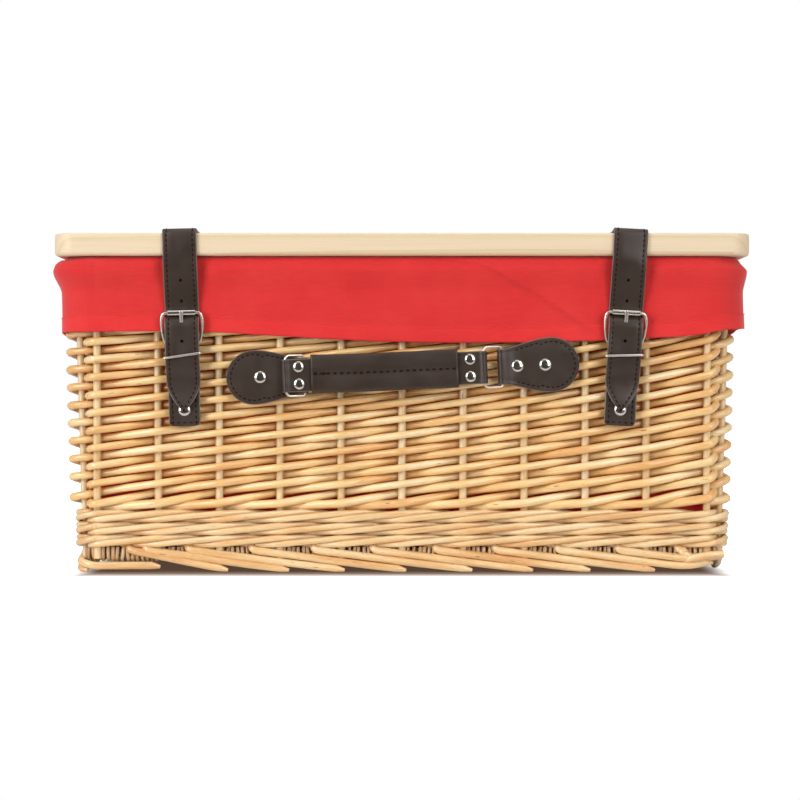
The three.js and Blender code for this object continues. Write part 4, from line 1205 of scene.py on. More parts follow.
def u_at(distance):
    """The gap count at a distance along the stake line from the front left stake."""
    ends = np.concatenate([[0], np.cumsum(gap_lengths())])
    whole = ends[-1]
    turns = np.floor(np.asarray(distance, float) / whole)
    return np.interp(distance - turns * whole, ends, np.arange(GAPS + 1)) + turns * GAPS


def distance_at(u):
    """The distance along the stake line at a gap count."""
    ends = np.concatenate([[0], np.cumsum(gap_lengths())])
    turns = np.floor(np.asarray(u, float) / GAPS)
    return np.interp(u - turns * GAPS, np.arange(GAPS + 1), ends) + turns * ends[-1]


def dice(seed):
    """A fixed run of random numbers."""
    return np.random.default_rng(seed)


# The wicker pieces


# Shares of a gap at which a rod's path is marked: close together where it bends at a stake
GAP_SHARES = (0.0, 0.045, 0.11, 0.26, 0.42, 0.58, 0.74, 0.89, 0.955)
# A rod lies along a stake for this far on either side of it.
STAKE_HOLD = 1.6
# How much further than elsewhere the loops stand out on the left end, below the skirt that
# holds them in, as a share of the rods' reach
LEFT_LOOPS = 0.62
LOOPS_FREE_BELOW = 170.0
# How the courses run higher or lower near the front left corner, by gaps from its front stake
COURSE_RUN = ((0, 1.5, 32, 33, 34, 35, 36), (-1.0, 0.0, 0.0, 0.6, 1.8, 3.2, -1.0))
# The rods are pressed this far into the stakes, in metres.
ROD_SQUEEZE = 0.00025
# How deep a rod's thick butt is pressed down on the waling
BUTT_PRESS = 2.2
# The rods' streaks are laid along them at this many metres to a gap, each from its own start.
GRAIN_RUN = 0.045
GRAIN_STARTS = 3.0
# Once round, in radians, for phases that are drawn at random
FULL_TURN = 6.3


def rod_guide(points, out, number, thick, along, sway=0.0, closed=False):
    """One rod's guide line, with all that its node tree and its finish read from it."""
    line = {"points": points, "out": out, "rod": float(number), "thick": thick}
    line.update({"along": along, "sway": sway, "closed": closed})
    return line


def lay_rods(name, lines, diameter, sides, unevenness, seed, finish, reach=0.0):
    """Rods grown over their guide lines as one willow piece."""
    values = {"Rod_diameter": diameter, "Reach": reach, "Sides": sides, "Seed": seed}
    values.update({"Unevenness": unevenness, "Material": finish_of(finish)})
    return grown(name, "rods", lines, **values)


def woven_path(first, step, z):
    """Points along the stake line, and which way and how far the rod leans off it."""
    share = np.mod(step, 1.0)
    last = np.floor(step)
    here, out_here = around(first + last, z)
    there, out_there = around(first + last + 1, z)
    gap = np.linalg.norm(there - here, axis=1)
    moved = np.clip((share * gap - STAKE_HOLD) / (gap - 2 * STAKE_HOLD), 0, 1)
    side = np.where(np.mod(last, 2) == 0, -1.0, 1.0)
    free = LEFT_LOOPS * np.clip((LOOPS_FREE_BELOW - z) / 6.0, 0, 1)
    push = [
        sign * (1 + free * (sign > 0) * np.maximum(-out[:, 0], 0) ** 2)
        for sign, out in ((side, out_here), (-side, out_there))
    ]
    lean = out_here * (push[0] * (1 - moved))[:, None] + out_there * (push[1] * moved)[:, None]
    return around(first + step, z)[0], lean


def course_rise_at(x, z, bottom, lift):
    """How far the courses climb towards the ends of the basket, evened out under the skirt."""
    swell = np.clip((z - bottom) / 118.0, 0, 1) * np.clip((WEAVE_TOP - z) / 42.0, 0, 1)
    swell = lift * (x / 200.0) ** 2 * swell
    # At the right end the lowest courses rise more steeply.
    steep = 3.4 * np.clip((x - 180.0) / 44.0, 0, 1) * np.exp((bottom - z) / 32.0)
    return swell + steep


def weave_wall(sizes):
    """The wall's rods: each starts at its own stake and climbs one stake at a time."""
    rod_radius = sizes.rod_diameter / MM / 2
    climb = sizes.course_rise / MM / 2
    bottom = WALE_TOP + rod_radius - 0.6
    gaps = int((WEAVE_TOP - rod_radius - bottom) / climb)
    step = (np.arange(gaps)[:, None] + np.array(GAP_SHARES)).ravel()
    spread = dice(4)
    lines = []
    for k in range(GAPS):
        # The thick butt ends are pressed down on the waling.
        pressed = BUTT_PRESS * np.minimum(step, 1) * np.clip(1.7 - 0.7 * step, 0, 1)
        z = bottom + 0.6 * np.exp(-step / 0.5) + climb * step - pressed
        points, lean = woven_path(k, step, z)
        rise = course_rise_at(points[:, 0], z, bottom, sizes.course_lift / MM)
        points[:, 2] = z + rise + np.interp(np.mod(k + step, GAPS), *COURSE_RUN)
        wobble = 0.04 * np.sin(step * 2.1 + spread.uniform(0, FULL_TURN))
        thick = 1.1 - 0.1 * step / gaps + spread.uniform(-0.05, 0.05) + wobble
        butt = 0.22 * np.exp(-step / 0.9)
        along = step * GRAIN_RUN + spread.uniform(0, GRAIN_STARTS)
        lines.append(rod_guide(points, lean, k, thick + butt, along, sway=1.0))
    reach = (sizes.stake_diameter + sizes.rod_diameter) / 2 - ROD_SQUEEZE
    obj = lay_rods("woven_rods", lines, sizes.rod_diameter, 8, 0.0009, 2.0, "peeled_willow", reach)
    settle(obj, "basket", "willow", "front_weave", "right_weave", "back_weave", "left_weave")


STAKE_FOOT = 10.0


def stand_stakes(sizes):
    """The upright stakes that the rods are woven round."""
    spread = dice(7)
    lines = []
    for k in range(GAPS):
        z = np.linspace(STAKE_FOOT, WEAVE_TOP - 0.5, 22)
        bow = 0.25 * np.sin(z / 40.0 + spread.uniform(0, FULL_TURN))
        points, out = around(k + bow * 0.012, z)
        thick = spread.uniform(0.96, 1.04)
        along = z * MM + spread.uniform(0, GRAIN_STARTS)
        lines.append(rod_guide(points, out, 100 + k, thick, along))
    obj = lay_rods("stakes", lines, sizes.stake_diameter, 10, 0.0003, 5.0, "stake_willow")
    settle(obj, "basket", "willow")


# Heights of a waling rod about its round's middle, over the three gaps of its turn
WALE_PHASES = (-0.5, 0.0, 1.0, 1.5, 2.0, 2.5)
WALE_HEIGHTS = (-3.1, -2.3, 2.3, 3.1, 0.0, -3.1)
WALE_ROUNDS = 3
WALE_RODS = 3


def wale_sway(phase):
    """How far out a waling rod is: out past two stakes, then in behind one."""
    return np.minimum(1.36 * np.cos(2 * math.pi * (phase - 0.5) / WALE_RODS) + 0.30, 1.05)


def twist_wale(sizes):
    """Three rounds of waling: of three rods, each passes two stakes and ducks behind one."""
    steps = 10
    spread = dice(11)
    lines = []
    u = np.arange(GAPS * steps) / steps
    for row in range(WALE_ROUNDS):
        middle = WALE_BOTTOM + sizes.wale_rise / MM * (row + 0.5)
        for j in range(WALE_RODS):
            phase = np.mod(u - j - row + 0.5, 3.0) - 0.5
            z = middle + np.interp(phase, WALE_PHASES, WALE_HEIGHTS)
            points, out = around(u, z)
            thick = 1.0 + 0.05 * np.sin(u * 0.9 + spread.uniform(0, FULL_TURN))
            along = u * GRAIN_RUN + spread.uniform(0, GRAIN_STARTS)
            number = 200 + WALE_RODS * row + j
            lines.append(rod_guide(points, out, number, thick, along, wale_sway(phase), True))
    diameter, reach = sizes.wale_diameter, sizes.wale_reach
    obj = lay_rods("wale_rods", lines, diameter, 8, 0.0007, 9.0, "foot_willow", reach)
    settle(obj, "basket", "willow", "wale_band")


# A foot rod: distance from its head, height and distance outwards from the stake line
FOOT_ROD = (
    (-1.5, 20.5, -1.5), (-2.0, 18.4, 0.8), (-0.4, 16.6, 2.2), (3.0, 15.7, 2.6),
    (10.0, 14.9, 2.5), (30.0, 12.4, 2.3), (60.0, 8.2, 2.2), (90.0, 4.5, 2.1),
    (107.0, 2.8, 2.1), (113.0, 2.4, 2.1),
)
HEAD_AFTER_STAKE = 25.2
# The last rod but one lies flatter, down to this height.
FLAT_ROD = GAPS - 2
FOOT_ROD_FLAT = 4.9
# The slanting cut at each rod's end
FOOT_CUT = 6.5
# The rods at the front left corner, where the border was begun: how far each head is
# moved on, and the share of a whole rod's length that is left after the cut
CORNER_RODS = {9: (0.0, 0.2), 33: (0.0, 0.72), 34: (0.0, 0.75), 35: (27.5, 0.92), 0: (0.0, 0.63)}
# The gap counts of the front's two corners
RIGHT_CORNER = 10.5
LEFT_CORNER = 35.5
# The last foot rod's end, tucked in so that it points out at the front right corner
CORNER_STUB = (
    (208.0, -155.0, 9.0), (218.0, -159.4, 11.6), (228.0, -160.0, 13.0), (236.0, -157.6, 13.4),
)


def near_corner(run_at, u, width):
    """1 at a place along the stake line, falling away to 0 over a width."""
    whole = float(gap_lengths().sum())
    away = np.mod(run_at - distance_at(u) + whole / 2, whole) - whole / 2
    return np.exp(-((away / width) ** 2))


def foot_guide(k, spread):
    """One foot rod's guide line."""
    shape = smooth_line(FOOT_ROD, 3)
    run = float(shape[-1, 0])
    shift, share = CORNER_RODS.get(k, (spread.uniform(-1.5, 1.5), spread.uniform(0.97, 1.03)))
    ahead, height, aside = shape.T
    ahead = ahead * np.where(ahead > 4, share, 1.0)
    if k == FLAT_ROD:
        height = np.maximum(height - 0.13 * np.maximum(ahead, 0), FOOT_ROD_FLAT)
    end = np.clip((ahead - run * share + FOOT_CUT) / FOOT_CUT, 0, 1)
    run_at = distance_at(float(k)) + HEAD_AFTER_STAKE + shift + ahead
    # The front right corner is drawn up and in, the front left one sticks out.
    raised = near_corner(run_at, RIGHT_CORNER, 16.0) * np.clip((12.0 - height) / 6.0, 0, 1)
    stuck_out = near_corner(run_at, LEFT_CORNER, 11.0) * np.clip((12.0 - height) / 4.0, 0, 1)
    out_by = aside - 1.6 * raised + 2.4 * stuck_out
    points, out = around(u_at(run_at), height + 5.6 * raised, out_by)
    points[:, 2] -= 0.9 * end
    thick = (1.02 - 0.06 * ahead / run) * (1 - 0.55 * end)
    return rod_guide(points, out, 300 + k, thick, ahead * MM + spread.uniform(0, GRAIN_STARTS))


def border_foot(sizes):
    """The foot border: each stake's foot turns out, runs on and ends in a slanting cut."""
    spread = dice(15)
    lines = [foot_guide(k, spread) for k in range(GAPS)]
    stub = smooth_line(CORNER_STUB, 2)
    lines.append(rod_guide(stub, TO_FRONT, 350, 1.02, stub[:, 0] * MM))
    obj = lay_rods("foot_rods", lines, sizes.foot_rod_diameter, 10, 0.0003, 12.0, "foot_willow")
    settle(obj, "basket", "willow", "foot_border")


# The wrapping of the base's edge: heights, and how far out it lies at each
WRAP_PITCH = 3.7
WRAP_HEIGHTS = (8.9, 10.4, 12.5, 15.5, 18.4)
WRAP_BULGE = (-2.2, -0.6, -0.2, -0.3, -1.0)
BASE_MIDDLE = (BASE_UNDER + BASE_TOP) / 2
BASE_STICKS = 10
BASE_STICK_REACH = 147.57
BASE_ROD_PITCH = 3.5
BASE_ROD_SWING = 2.75
# The base's corner radius, and how far its rods are laid past the corners' centres
BASE_CORNER = 6.0
ROD_OVERHANG = 5.0


def wrap_edge(spread):
    """Guide lines of the rods' ends wrapped over the base's edge."""
    whole = float(gap_lengths().sum())
    count = int(whole / WRAP_PITCH)
    z = np.array(WRAP_HEIGHTS)
    lines = []
    for k in range(count):
        at = whole * (k + spread.uniform(-0.16, 0.16)) / count
        bulge = np.array(WRAP_BULGE) + spread.uniform(-0.3, 0.3)
        lean = spread.uniform(-0.7, 0.7)
        points, out = around(u_at(at + lean * np.linspace(-1, 1, len(z))), z, bulge)
        thick = spread.uniform(0.85, 1.08)
        lines.append(rod_guide(points, out, 400 + k, thick, z * MM + spread.uniform(0, GRAIN_STARTS)))
    return lines


def weave_floor(spread):
    """Guide lines of the base's long sticks and of the thin rods woven across them."""
    rows = np.linspace(-BASE_STICK_REACH, BASE_STICK_REACH, BASE_STICKS)
    stick_gap = rows[1] - rows[0]
    lines = []
    for j, y in enumerate(rows):
        x = np.linspace(-CORNER_X - BASE_CORNER, CORNER_X + BASE_CORNER, 30)
        points = np.stack([x, np.full(30, y), np.full(30, BASE_MIDDLE)], 1)
        lines.append(rod_guide(points, UPWARDS, 900 + j, 1.2, x * MM))
    for k in range(int(2 * (CORNER_X + ROD_OVERHANG) / BASE_ROD_PITCH)):
        x = -CORNER_X - ROD_OVERHANG + BASE_ROD_PITCH * (k + 0.5)
        over = max(abs(x) - CORNER_X, 0.0)
        half = CORNER_Y + math.sqrt(max(BASE_CORNER**2 - over**2, 0.0))
        y = np.linspace(-half, half, 44)
        swing = np.cos(math.pi * (y - rows[0]) / stick_gap + math.pi * (k % 2))
        points = np.stack([np.full(44, x), y, BASE_MIDDLE + BASE_ROD_SWING * swing], 1)
        along = y * MM + spread.uniform(0, GRAIN_STARTS)
        lines.append(rod_guide(points, UPWARDS, 1000 + k, 1.0, along))
    return lines


def wrap_base(sizes):
    """The base: long sticks woven with thin rods, its edge wrapped with the rods' ends."""
    spread = dice(19)
    lines = wrap_edge(spread) + weave_floor(spread)
    # The base's rods take the darker willow copy, a painted shade under the foot.
    obj = lay_rods("woven_base", lines, sizes.base_rod_diameter, 6, 0.0002, 17.0, "shaded_willow")
    settle(obj, "basket", "willow", "base_panel")


def keep_rim(sizes):
    """The rim border stays as its solid under the cloth, and gets the willow's finish."""
    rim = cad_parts["rim_border"]
    rim.data.materials.clear()
    rim.data.materials.append(finish_of("peeled_willow"))


# The cloth


HEM_DEPTH = 11.0
# The hem's line across the front, as x and z
FRONT_HEM = (
    (-248, -177, -133, -100, -60, -20, 28, 90, 145, 205, 222, 232, 244),
    (176.6, 177.0, 176.2, 174.2, 171.6, 169.6, 168.5, 168.9, 170.3, 173.2, 175.2, 178.2, 179.4),
)
# The hem's mean height on the other sides
OTHER_HEM = 174.0
# The crease left by folding: a line down the front of the skirt, as x and z
CREASE = ((20.0, 34.0, 64.5, 101.0, 134.0, 150.0), (233.0, 230.5, 222.0, 201.5, 179.5, 168.0))
# Soft upright folds of the skirt: their width, their seed and how far they stand out
FOLDS = ((23.0, 31, 0.22), (47.0, 32, 0.45), (88.0, 33, 0.4))
# The cloth's mesh: points round it, and rows down the skirt, the bag and the bag's floor
LINING_STATIONS = 640
SKIRT_ROWS = 44
BAG_ROWS = 14
FLOOR_ROWS = 7
# Where the cloth wraps the rim: how far it lies from the stake line, the radius of its turn
# and its height on top
RIM_REACH = 8.55
RIM_TURN = 2.2
CLOTH_TOP = RIM_TOP + 0.3 + CLOTH / 2
# Its way over the rim and into the bag, as the distance outwards and the drop below the top
RIM_CROSSING = ((3.0, 0.0), (-3.0, 0.0), (-6.35, 0.0), (-7.9, 0.7), (-8.55, RIM_TURN))
CROSSING_STEP = 3.0
CLOTH_FLOOR = WALE_BOTTOM + CLOTH / 2


def eased(share):
    """A share from 0 to 1 with a soft start and end."""
    return share * share * (3 - 2 * share)


def hem_height(points):
    """How low the skirt hangs at a place along the rim."""
    x = points[:, 0]
    front = np.interp(x, *FRONT_HEM)
    other = OTHER_HEM + 1.6 * np.sin(points[:, 1] / 38.0) + 1.2 * np.sin(x / 61.0 + 1.0)
    # The right end's hem climbs towards the front corner.
    other = other + 7.0 * np.clip((x - 190.0) / 40.0, 0, 1) * np.clip(-points[:, 1] / 110.0, 0, 1)
    share = np.clip((-points[:, 1] - 120.0) / 35.0, 0, 1)
    return front * share + other * (1 - share)


def strap_press(points):
    """1 where a strap presses the skirt in and 0 elsewhere, at a place along the rim."""
    press = np.zeros(len(points))
    for x0, lean in STRAPS.values():
        at = x0 - 35.0 * math.sin(math.radians(lean))
        near = np.clip((24.0 - np.abs(points[:, 0] - at)) / 10.0, 0, 1)
        press = np.maximum(press, eased(near))
    return press


def smooth_noise(values, seed, waves):
    """A soft wave made of a few sines with fixed random phases."""
    spread = dice(seed)
    total = np.zeros(np.shape(values))
    for wave in waves:
        total = total + np.sin(values * 2 * math.pi / wave + spread.uniform(0, FULL_TURN))
    return total / len(waves)


def fold_step(x, z):
    """How far the skirt stands out above the crease left by folding, dying away upwards."""
    above = (z - np.interp(x, *CREASE)) * 0.85
    step = np.clip((above + 0.5) / 2.0, 0, 1)
    along = np.clip((x - 26.0) / 22.0, 0, 1) * np.clip((146.0 - x) / 12.0, 0, 1)
    return 2.0 * eased(step) * np.exp(-np.maximum(above, 0) / 15.0) * along


def rim_row(u, offset, z):
    """A row of points round the rim's plan, at a distance from the stake line, set at a height."""
    points, _ = around(u, np.full(len(u), RIM_TOP), offset)
    points[:, 2] = z
    return points


def skirt(u, distance, side_slack):
    """The skirt's rows from the hem up, with their places on the flat cloth and the hem's share."""
    rim, out = around(u, np.full(len(u), RIM_TOP))
    hem = hem_height(rim)
    slack = 1.0 - strap_press(rim)
    left_end = np.clip((-rim[:, 0] - 150) / 90, 0, 1)
    right_end = np.clip((rim[:, 0] - 150) / 90, 0, 1)
    # On the basket's short sides the rods' loops hold the cloth further out.
    sideways = out[:, 0] ** 2
    spare = 2.4 + 1.6 * left_end + 0.8 * right_end + 1.8 * sideways * (rim[:, 0] < 0)
    bulge = (spare + 0.7 * smooth_noise(distance, 3, (61, 97, 37))) * slack
    flare = (0.4 + 2.0 * right_end * np.clip((-rim[:, 1] - 60) / 80, 0, 1)) * slack
    upright = np.zeros(len(u))
    for width, seed, size in FOLDS:
        upright = upright + size * smooth_noise(distance, seed, (width, width * 1.37))
    in_front = slack * (rim[:, 1] < -120)
    rows = []
    for i in range(SKIRT_ROWS + 1):
        share = i / SKIRT_ROWS
        low = 1 - share
        z = hem + (CLOTH_TOP - RIM_TURN - hem) * share
        # The cloth swells out under the lid and is drawn in again at the rim.
        lift = np.clip((z - 205.0) / 17.0, 0, 1)
        fall = np.clip((z - 222.0 - 4.0 * left_end) / 7.0, 0, 1)
        shape = eased(lift) * (1 - eased(fall))
        drift = 0.5 * slack * smooth_noise(distance + 40.0 * share, 41, (71, 118)) * low
        folds = upright * slack * (0.35 + 0.65 * shape) + drift
        loops = side_slack * sideways * np.clip((CLOTH_TOP - z) / 9.0, 0, 1)
        offset = RIM_REACH + 0.25 + loops + bulge * shape + flare * low**1.5
        offset = offset + np.maximum(folds, -0.25) - (RIM_TOP - z) * TAPER
        doubled = np.clip((hem + HEM_DEPTH + 0.5 - z) / 0.8, 0, 1)
        offset = offset + 0.3 * doubled + fold_step(rim[:, 0], z) * in_front
        rows.append((rim_row(u, offset, z), z - CLOTH_TOP, doubled))
    return rows


def over_the_rim(u):
    """The rows over the rim, each with its place on the flat cloth."""
    rows = []
    for angle in (30, 60, 90):
        turn = math.radians(angle)
        z = CLOTH_TOP - RIM_TURN + RIM_TURN * math.sin(turn)
        offset = RIM_REACH - RIM_TURN + RIM_TURN * math.cos(turn)
        rows.append((rim_row(u, offset, z), z - CLOTH_TOP, 0.0))
    for step, (offset, drop) in enumerate(RIM_CROSSING, 1):
        rows.append((rim_row(u, offset, CLOTH_TOP - drop), CROSSING_STEP * step, 0.0))
    return rows


def bag(u, distance):
    """The bag's rows down the inside of the wall, and over its floor to the middle."""
    rows = []
    run = CROSSING_STEP * len(RIM_CROSSING)
    top = CLOTH_TOP - RIM_TURN
    for i in range(1, BAG_ROWS + 1):
        share = i / BAG_ROWS
        z = top - (top - CLOTH_FLOOR - 2.0) * share
        sag = 5.5 + 1.3 * smooth_noise(distance + 30 * share, 51, (83, 131, 47))
        inward = math.sin(math.pi * share) * sag
        # Where the corner's radius is used up, the corner moves in as a whole.
        short = np.minimum(radius_at(z) - RIM_REACH - inward - 0.6, 0.0)
        points, _ = around(u, np.full(len(u), z), -RIM_REACH - inward - short)
        points[:, :2] += np.sign(points[:, :2]) * short[:, None]
        rows.append((points, run + (CLOTH_TOP - z), 0.0))
    last = points
    spine = np.clip(last[:, 0], -(CORNER_X - CORNER_Y), CORNER_X - CORNER_Y)
    for i in range(1, FLOOR_ROWS):
        share = i / FLOOR_ROWS
        points = last.copy()
        points[:, 0] = last[:, 0] + (spine - last[:, 0]) * share
        points[:, 1] = last[:, 1] * (1 - share)
        points[:, 2] = CLOTH_FLOOR + 2.0 * max(0.0, 1 - share * 12) ** 2
        rows.append((points, run + 215.0 + 150 * share, 0.0))
    return rows


def cloth_mesh(rows, distance):
    """The cloth's sheet through its rows, with its flat place and its hem stored on it."""
    rings = np.array([points for points, _, _ in rows])
    count, stations = rings.shape[:2]
    faces = []
    for i in range(count - 1):
        low, high = i * stations, (i + 1) * stations
        for k in range(stations):
            m = (k + 1) % stations
            faces.append((low + k, low + m, high + m, high + k))
    # The middle of the floor: the last row's two long sides meet across a strip.
    faces.append(tuple((count - 1) * stations + k for k in range(stations)))
    obj = mesh_piece("lining_cloth", rings.reshape(-1, 3), faces, finish_of("red_cotton"))
    down = np.array([np.broadcast_to(v, stations) for _, v, _ in rows])
    flat = np.stack([np.tile(distance, count), down.ravel(), np.zeros(count * stations)], 1)
    store_on(obj.data, "cloth", "FLOAT_VECTOR", flat)
    hem_share = np.array([np.broadcast_to(share, stations) for _, _, share in rows])
    store_on(obj.data, "doubled", "FLOAT", hem_share)
    return obj


def thicken(obj):
    """Gives the sheet the cloth's thickness and returns its area before, in square metres."""
    made = bmesh.new()
    made.from_mesh(obj.data)
    bmesh.ops.triangulate(made, faces=[f for f in made.faces if len(f.verts) > 4])
    bmesh.ops.recalc_face_normals(made, faces=made.faces)
    made.to_mesh(obj.data)
    area = sum(f.calc_area() for f in made.faces)
    made.free()
    solid = obj.modifiers.new("Thickness", "SOLIDIFY")
    solid.thickness = CLOTH * MM
    solid.offset = 0.0
    apply_modifiers(obj)
    return area


def sew_hem(u, hem_row, pitch):
    """The hem's seam, just outside the skirt at the hem's depth."""
    line = hem_row.copy()
    line[:, 2] += HEM_DEPTH
    out = around(u, np.full(len(u), RIM_TOP))[1]
    line += out * (0.35 + CLOTH / 2)
    seam = {"points": line, "out": out, "closed": True}
    stitches = sew("hem_stitches", [seam], pitch, "red_thread", HEM_STITCH)
    settle(stitches, "basket", "lining_cloth")
    return stitches


def hang_lining(sizes):
    """The lining: a bag in the basket turned over the rim into a skirt that hangs outside."""
    distance = float(gap_lengths().sum()) * np.arange(LINING_STATIONS) / LINING_STATIONS
    u = u_at(distance)
    rows = skirt(u, distance, sizes.side_slack / MM) + over_the_rim(u) + bag(u, distance)
    obj = cloth_mesh(rows, distance)
    area = thicken(obj)
    settle(obj, "basket", "lining_cloth", "lining")
    stitches = sew_hem(u, rows[0][0], sizes.hem_pitch)


# Length, width and height of a stitch
HEM_STITCH = (1.9, 0.45, 0.2)
LEATHER_STITCH = (2.4, 1.05, 0.38)
GRIP_STITCH = (2.7, 1.5, 0.6)
KNOT_STITCH = (2.6, 2.1, 0.75)


def sew(name, lines, pitch, thread, stitch):
    """Stitches set out along seam lines."""
    length, width, height = stitch
    shape = bpy.data.objects.new("stitch_shape", bpy.data.meshes.new("stitch_shape"))
    made = bmesh.new()
    bmesh.ops.create_uvsphere(made, u_segments=8, v_segments=5, radius=0.5)
    for vertex in made.verts:
        x, y, z = vertex.co
        vertex.co = (z * length * MM, x * width * MM, y * height * 2 * MM)
    bmesh.ops.recalc_face_normals(made, faces=made.faces)
    made.to_mesh(shape.data)
    made.free()
    shape.data.shade_smooth()
    bpy.context.scene.collection.objects.link(shape)
    values = {"Shape": shape, "Pitch": pitch, "Unevenness": 0.08, "Seed": 3}
    obj = grown(name, "seam", lines, Material=finish_of(thread), **values)
    drop(shape)
    return obj


# The lid


PLANK_TOP_ROUND = 1.5
PLANK_UNDER_ROUND = 3.0


def plank_lid(sizes):
    """The lid: one plank with rounded corners and softened edges."""
    low, high = PLANK_UNDER_ROUND, PLANK_TOP_ROUND
    edge = arc(low, low, low, 270, 180, 7)
    edge += arc(high, LID_TOP - LID_UNDER - high, high, 180, 90, 5)
    rings = []
    for inset, rise in edge:
        radius = LID_CORNER - inset
        outline = rounded_box(LID_LENGTH / 2 - inset, LID_DEPTH / 2 - inset, radius, 14)
        rings.append([(x, y, LID_UNDER + rise) for x, y in outline])
    obj = lofted("lid_plank", rings, finish_of("planed_pine"))
    sharp_above(obj, 40)
    settle(obj, "lid", "pine", "lid_board")


# The leather


# The strap over the lid, from the back round to the top of the drop, and the drop, as y and z
STRAP_OVER = (
    (176.3, 232.15), (176.3, 246.8), (175.42, 248.92), (173.3, 249.8), (-160.0, 249.8),
    (-172.0, 251.1), (-175.3, 250.45), (-176.3, 248.3), (-176.3, 232.06),
)
STRAP_DOWN = (
    (-176.3, 232.06), (-176.3, 229.5), (-176.0, 225.0), (-175.3, 219.5), (-173.9, 212.5),
    (-172.0, 204.5), (-169.9, 196.5), (-169.794, 189.0), (-175.7, 183.4), (-175.4, 176.0),
    (-175.136, 153.3), (-170.434, 143.3), (-170.434, 133.0), (-172.534, 124.25), (-172.534, 119.2),
)
STRAP_TAPER = 20.0
STRAP_HOLES = (214.0, 199.0, 169.6)
STRAP_HOLE = 2.3
# The thread lies this deep in the leather, and its direction is read this far above it.
THREAD_SUNK = 0.05
THREAD_ABOVE = 1.0
# Edges of cut leather stay crisp above this angle.
LEATHER_CRISP = 50


def along_strap(line, tip=0.0, fine=1.6):
    """A smoothed line cut into even steps, finer towards a tapered tip, and the way left."""
    smooth = smooth_line(line, 3)
    whole = length_of(smooth)
    body = np.arange(0, whole - tip, fine)
    if tip:
        end = whole - tip * (1 - np.sin(np.linspace(0, math.pi / 2, 22)))
        stations = np.concatenate([body, end[1:]])
    else:
        stations = np.concatenate([body, [whole]])
    return spaced(smooth, stations), whole - stations


def seam_lines(place, line, halves, thickness):
    """Two stitch lines on the outer face of a band, from the band's own line."""
    line = np.array(line, float)
    normal = plane_normals(line)
    seams = []
    for sign in (1, -1):
        across = sign * np.maximum(np.array(halves) - STITCH_IN, 0.0)
        face = line + normal * (thickness / 2 - THREAD_SUNK)
        above = line + normal * (thickness / 2 + THREAD_ABOVE)
        low = place(np.column_stack([face, across]))
        high = place(np.column_stack([above, across]))
        up = high - low
        up /= np.linalg.norm(up, axis=1)[:, None]
        seams.append({"points": low, "out": up})
    return seams


def strap_place(side):
    """Maps a strap's plane line (y, z) and its width to the hamper, leaned."""
    return lambda p: strap_lean(side, np.stack([p[..., 2], p[..., 0], p[..., 1]], -1))


def straight_place(side):
    """As strap_place, without the lean."""
    return lambda p: np.stack([p[..., 2] + STRAPS[side][0], p[..., 0], p[..., 1]], -1)


def over_place(side):
    """As strap_place, with the lean coming in only over the lid's front edge."""

    def place(p):
        share = np.clip((-150.0 - p[..., 0]) / 24.0, 0, 1)[..., None]
        return straight_place(side)(p) * (1 - share) + strap_place(side)(p) * share

    return place


def lay_over(side):
    """One strap over the lid, and its seams."""
    line, _ = along_strap(STRAP_OVER, fine=2.2)
    line = line[::-1]
    halves = np.full(len(line), STRAP_WIDTH / 2)
    place = over_place(side)
    piece = band(f"{side}_strap_over", line, halves, STRAP, place)
    sharp_above(piece, LEATHER_CRISP)
    settle(piece, "lid", "dark_leather", f"{side}_lid_strap")
    return seam_lines(place, line, halves, STRAP)


def lay_down(side):
    """One strap's drop, tapered at its tip and punched, and its seams."""
    line, left = along_strap(STRAP_DOWN, tip=STRAP_TAPER)
    near = np.clip(1 - left / STRAP_TAPER, 0, 1)
    halves = STRAP_WIDTH / 2 * np.clip(1 - near**1.3, 0, 1) ** 0.65
    line, halves = line[::-1], halves[::-1]
    piece = band(f"{side}_strap_front", line, halves, STRAP, strap_place(side))
    for z in STRAP_HOLES:
        path = [strap_lean(side, (0, y, z)) for y in (-190.0, -160.0)]
        punch = wire("punch", path, STRAP_HOLE, finish_of("brown_leather"), (1, 0, 0), closed=False)
        cut_with(piece, punch)
    sharp_above(piece, LEATHER_CRISP)
    settle(piece, f"{side}_strap", "dark_leather", f"{side}_strap_drop")
    return seam_lines(strap_place(side), line, halves, STRAP)


def sew_leather(name, seams, pitch, body, stitch=LEATHER_STITCH):
    """Brown stitches on a body's leather."""
    settle(sew(name, seams, pitch, "brown_thread", stitch), body, "dark_leather")


def lay_straps(sizes):
    """The straps: over the lid, and down the front past roller, keeper and rivet."""
    over_seams = []
    for side in STRAPS:
        over_seams += lay_over(side)
        seams = lay_down(side)
        sew_leather(f"{side}_strap_stitches", seams, sizes.stitch_pitch, f"{side}_strap")
    sew_leather("lid_strap_stitches", over_seams, sizes.stitch_pitch, "lid")


CHAPE_LAYER = 1.6
CHAPE_FOOT = 107.7
CHAPE_BACK = -165.934
# The outer radius of the fold round the heel bar
CHAPE_EYE = 2.95
# The heights between which both layers draw together below the fold
CHAPE_DRAWN = (146.3, 152.2)
CHAPE_CORNER = 3.2
# The stretch of the chape that is sewn, by height and by how far ahead it lies, and the seam
# across its foot
CHAPE_SEWN = (109.5, 151.0)
SEWN_AHEAD_OF = -167.3
FOOT_SEAM_Z = 110.2
FOOT_SEAM_HALF = 9.2
# Each chape is slotted at its fold for the prong: the slot's width, its ends from the heel
# bar and how much deeper than wide it is cut
SLOT_WIDTH = 3.9
SLOT_ENDS = (-6.2, 4.8)
SLOT_AHEAD = 4
SLOT_DEEPER = 4.0


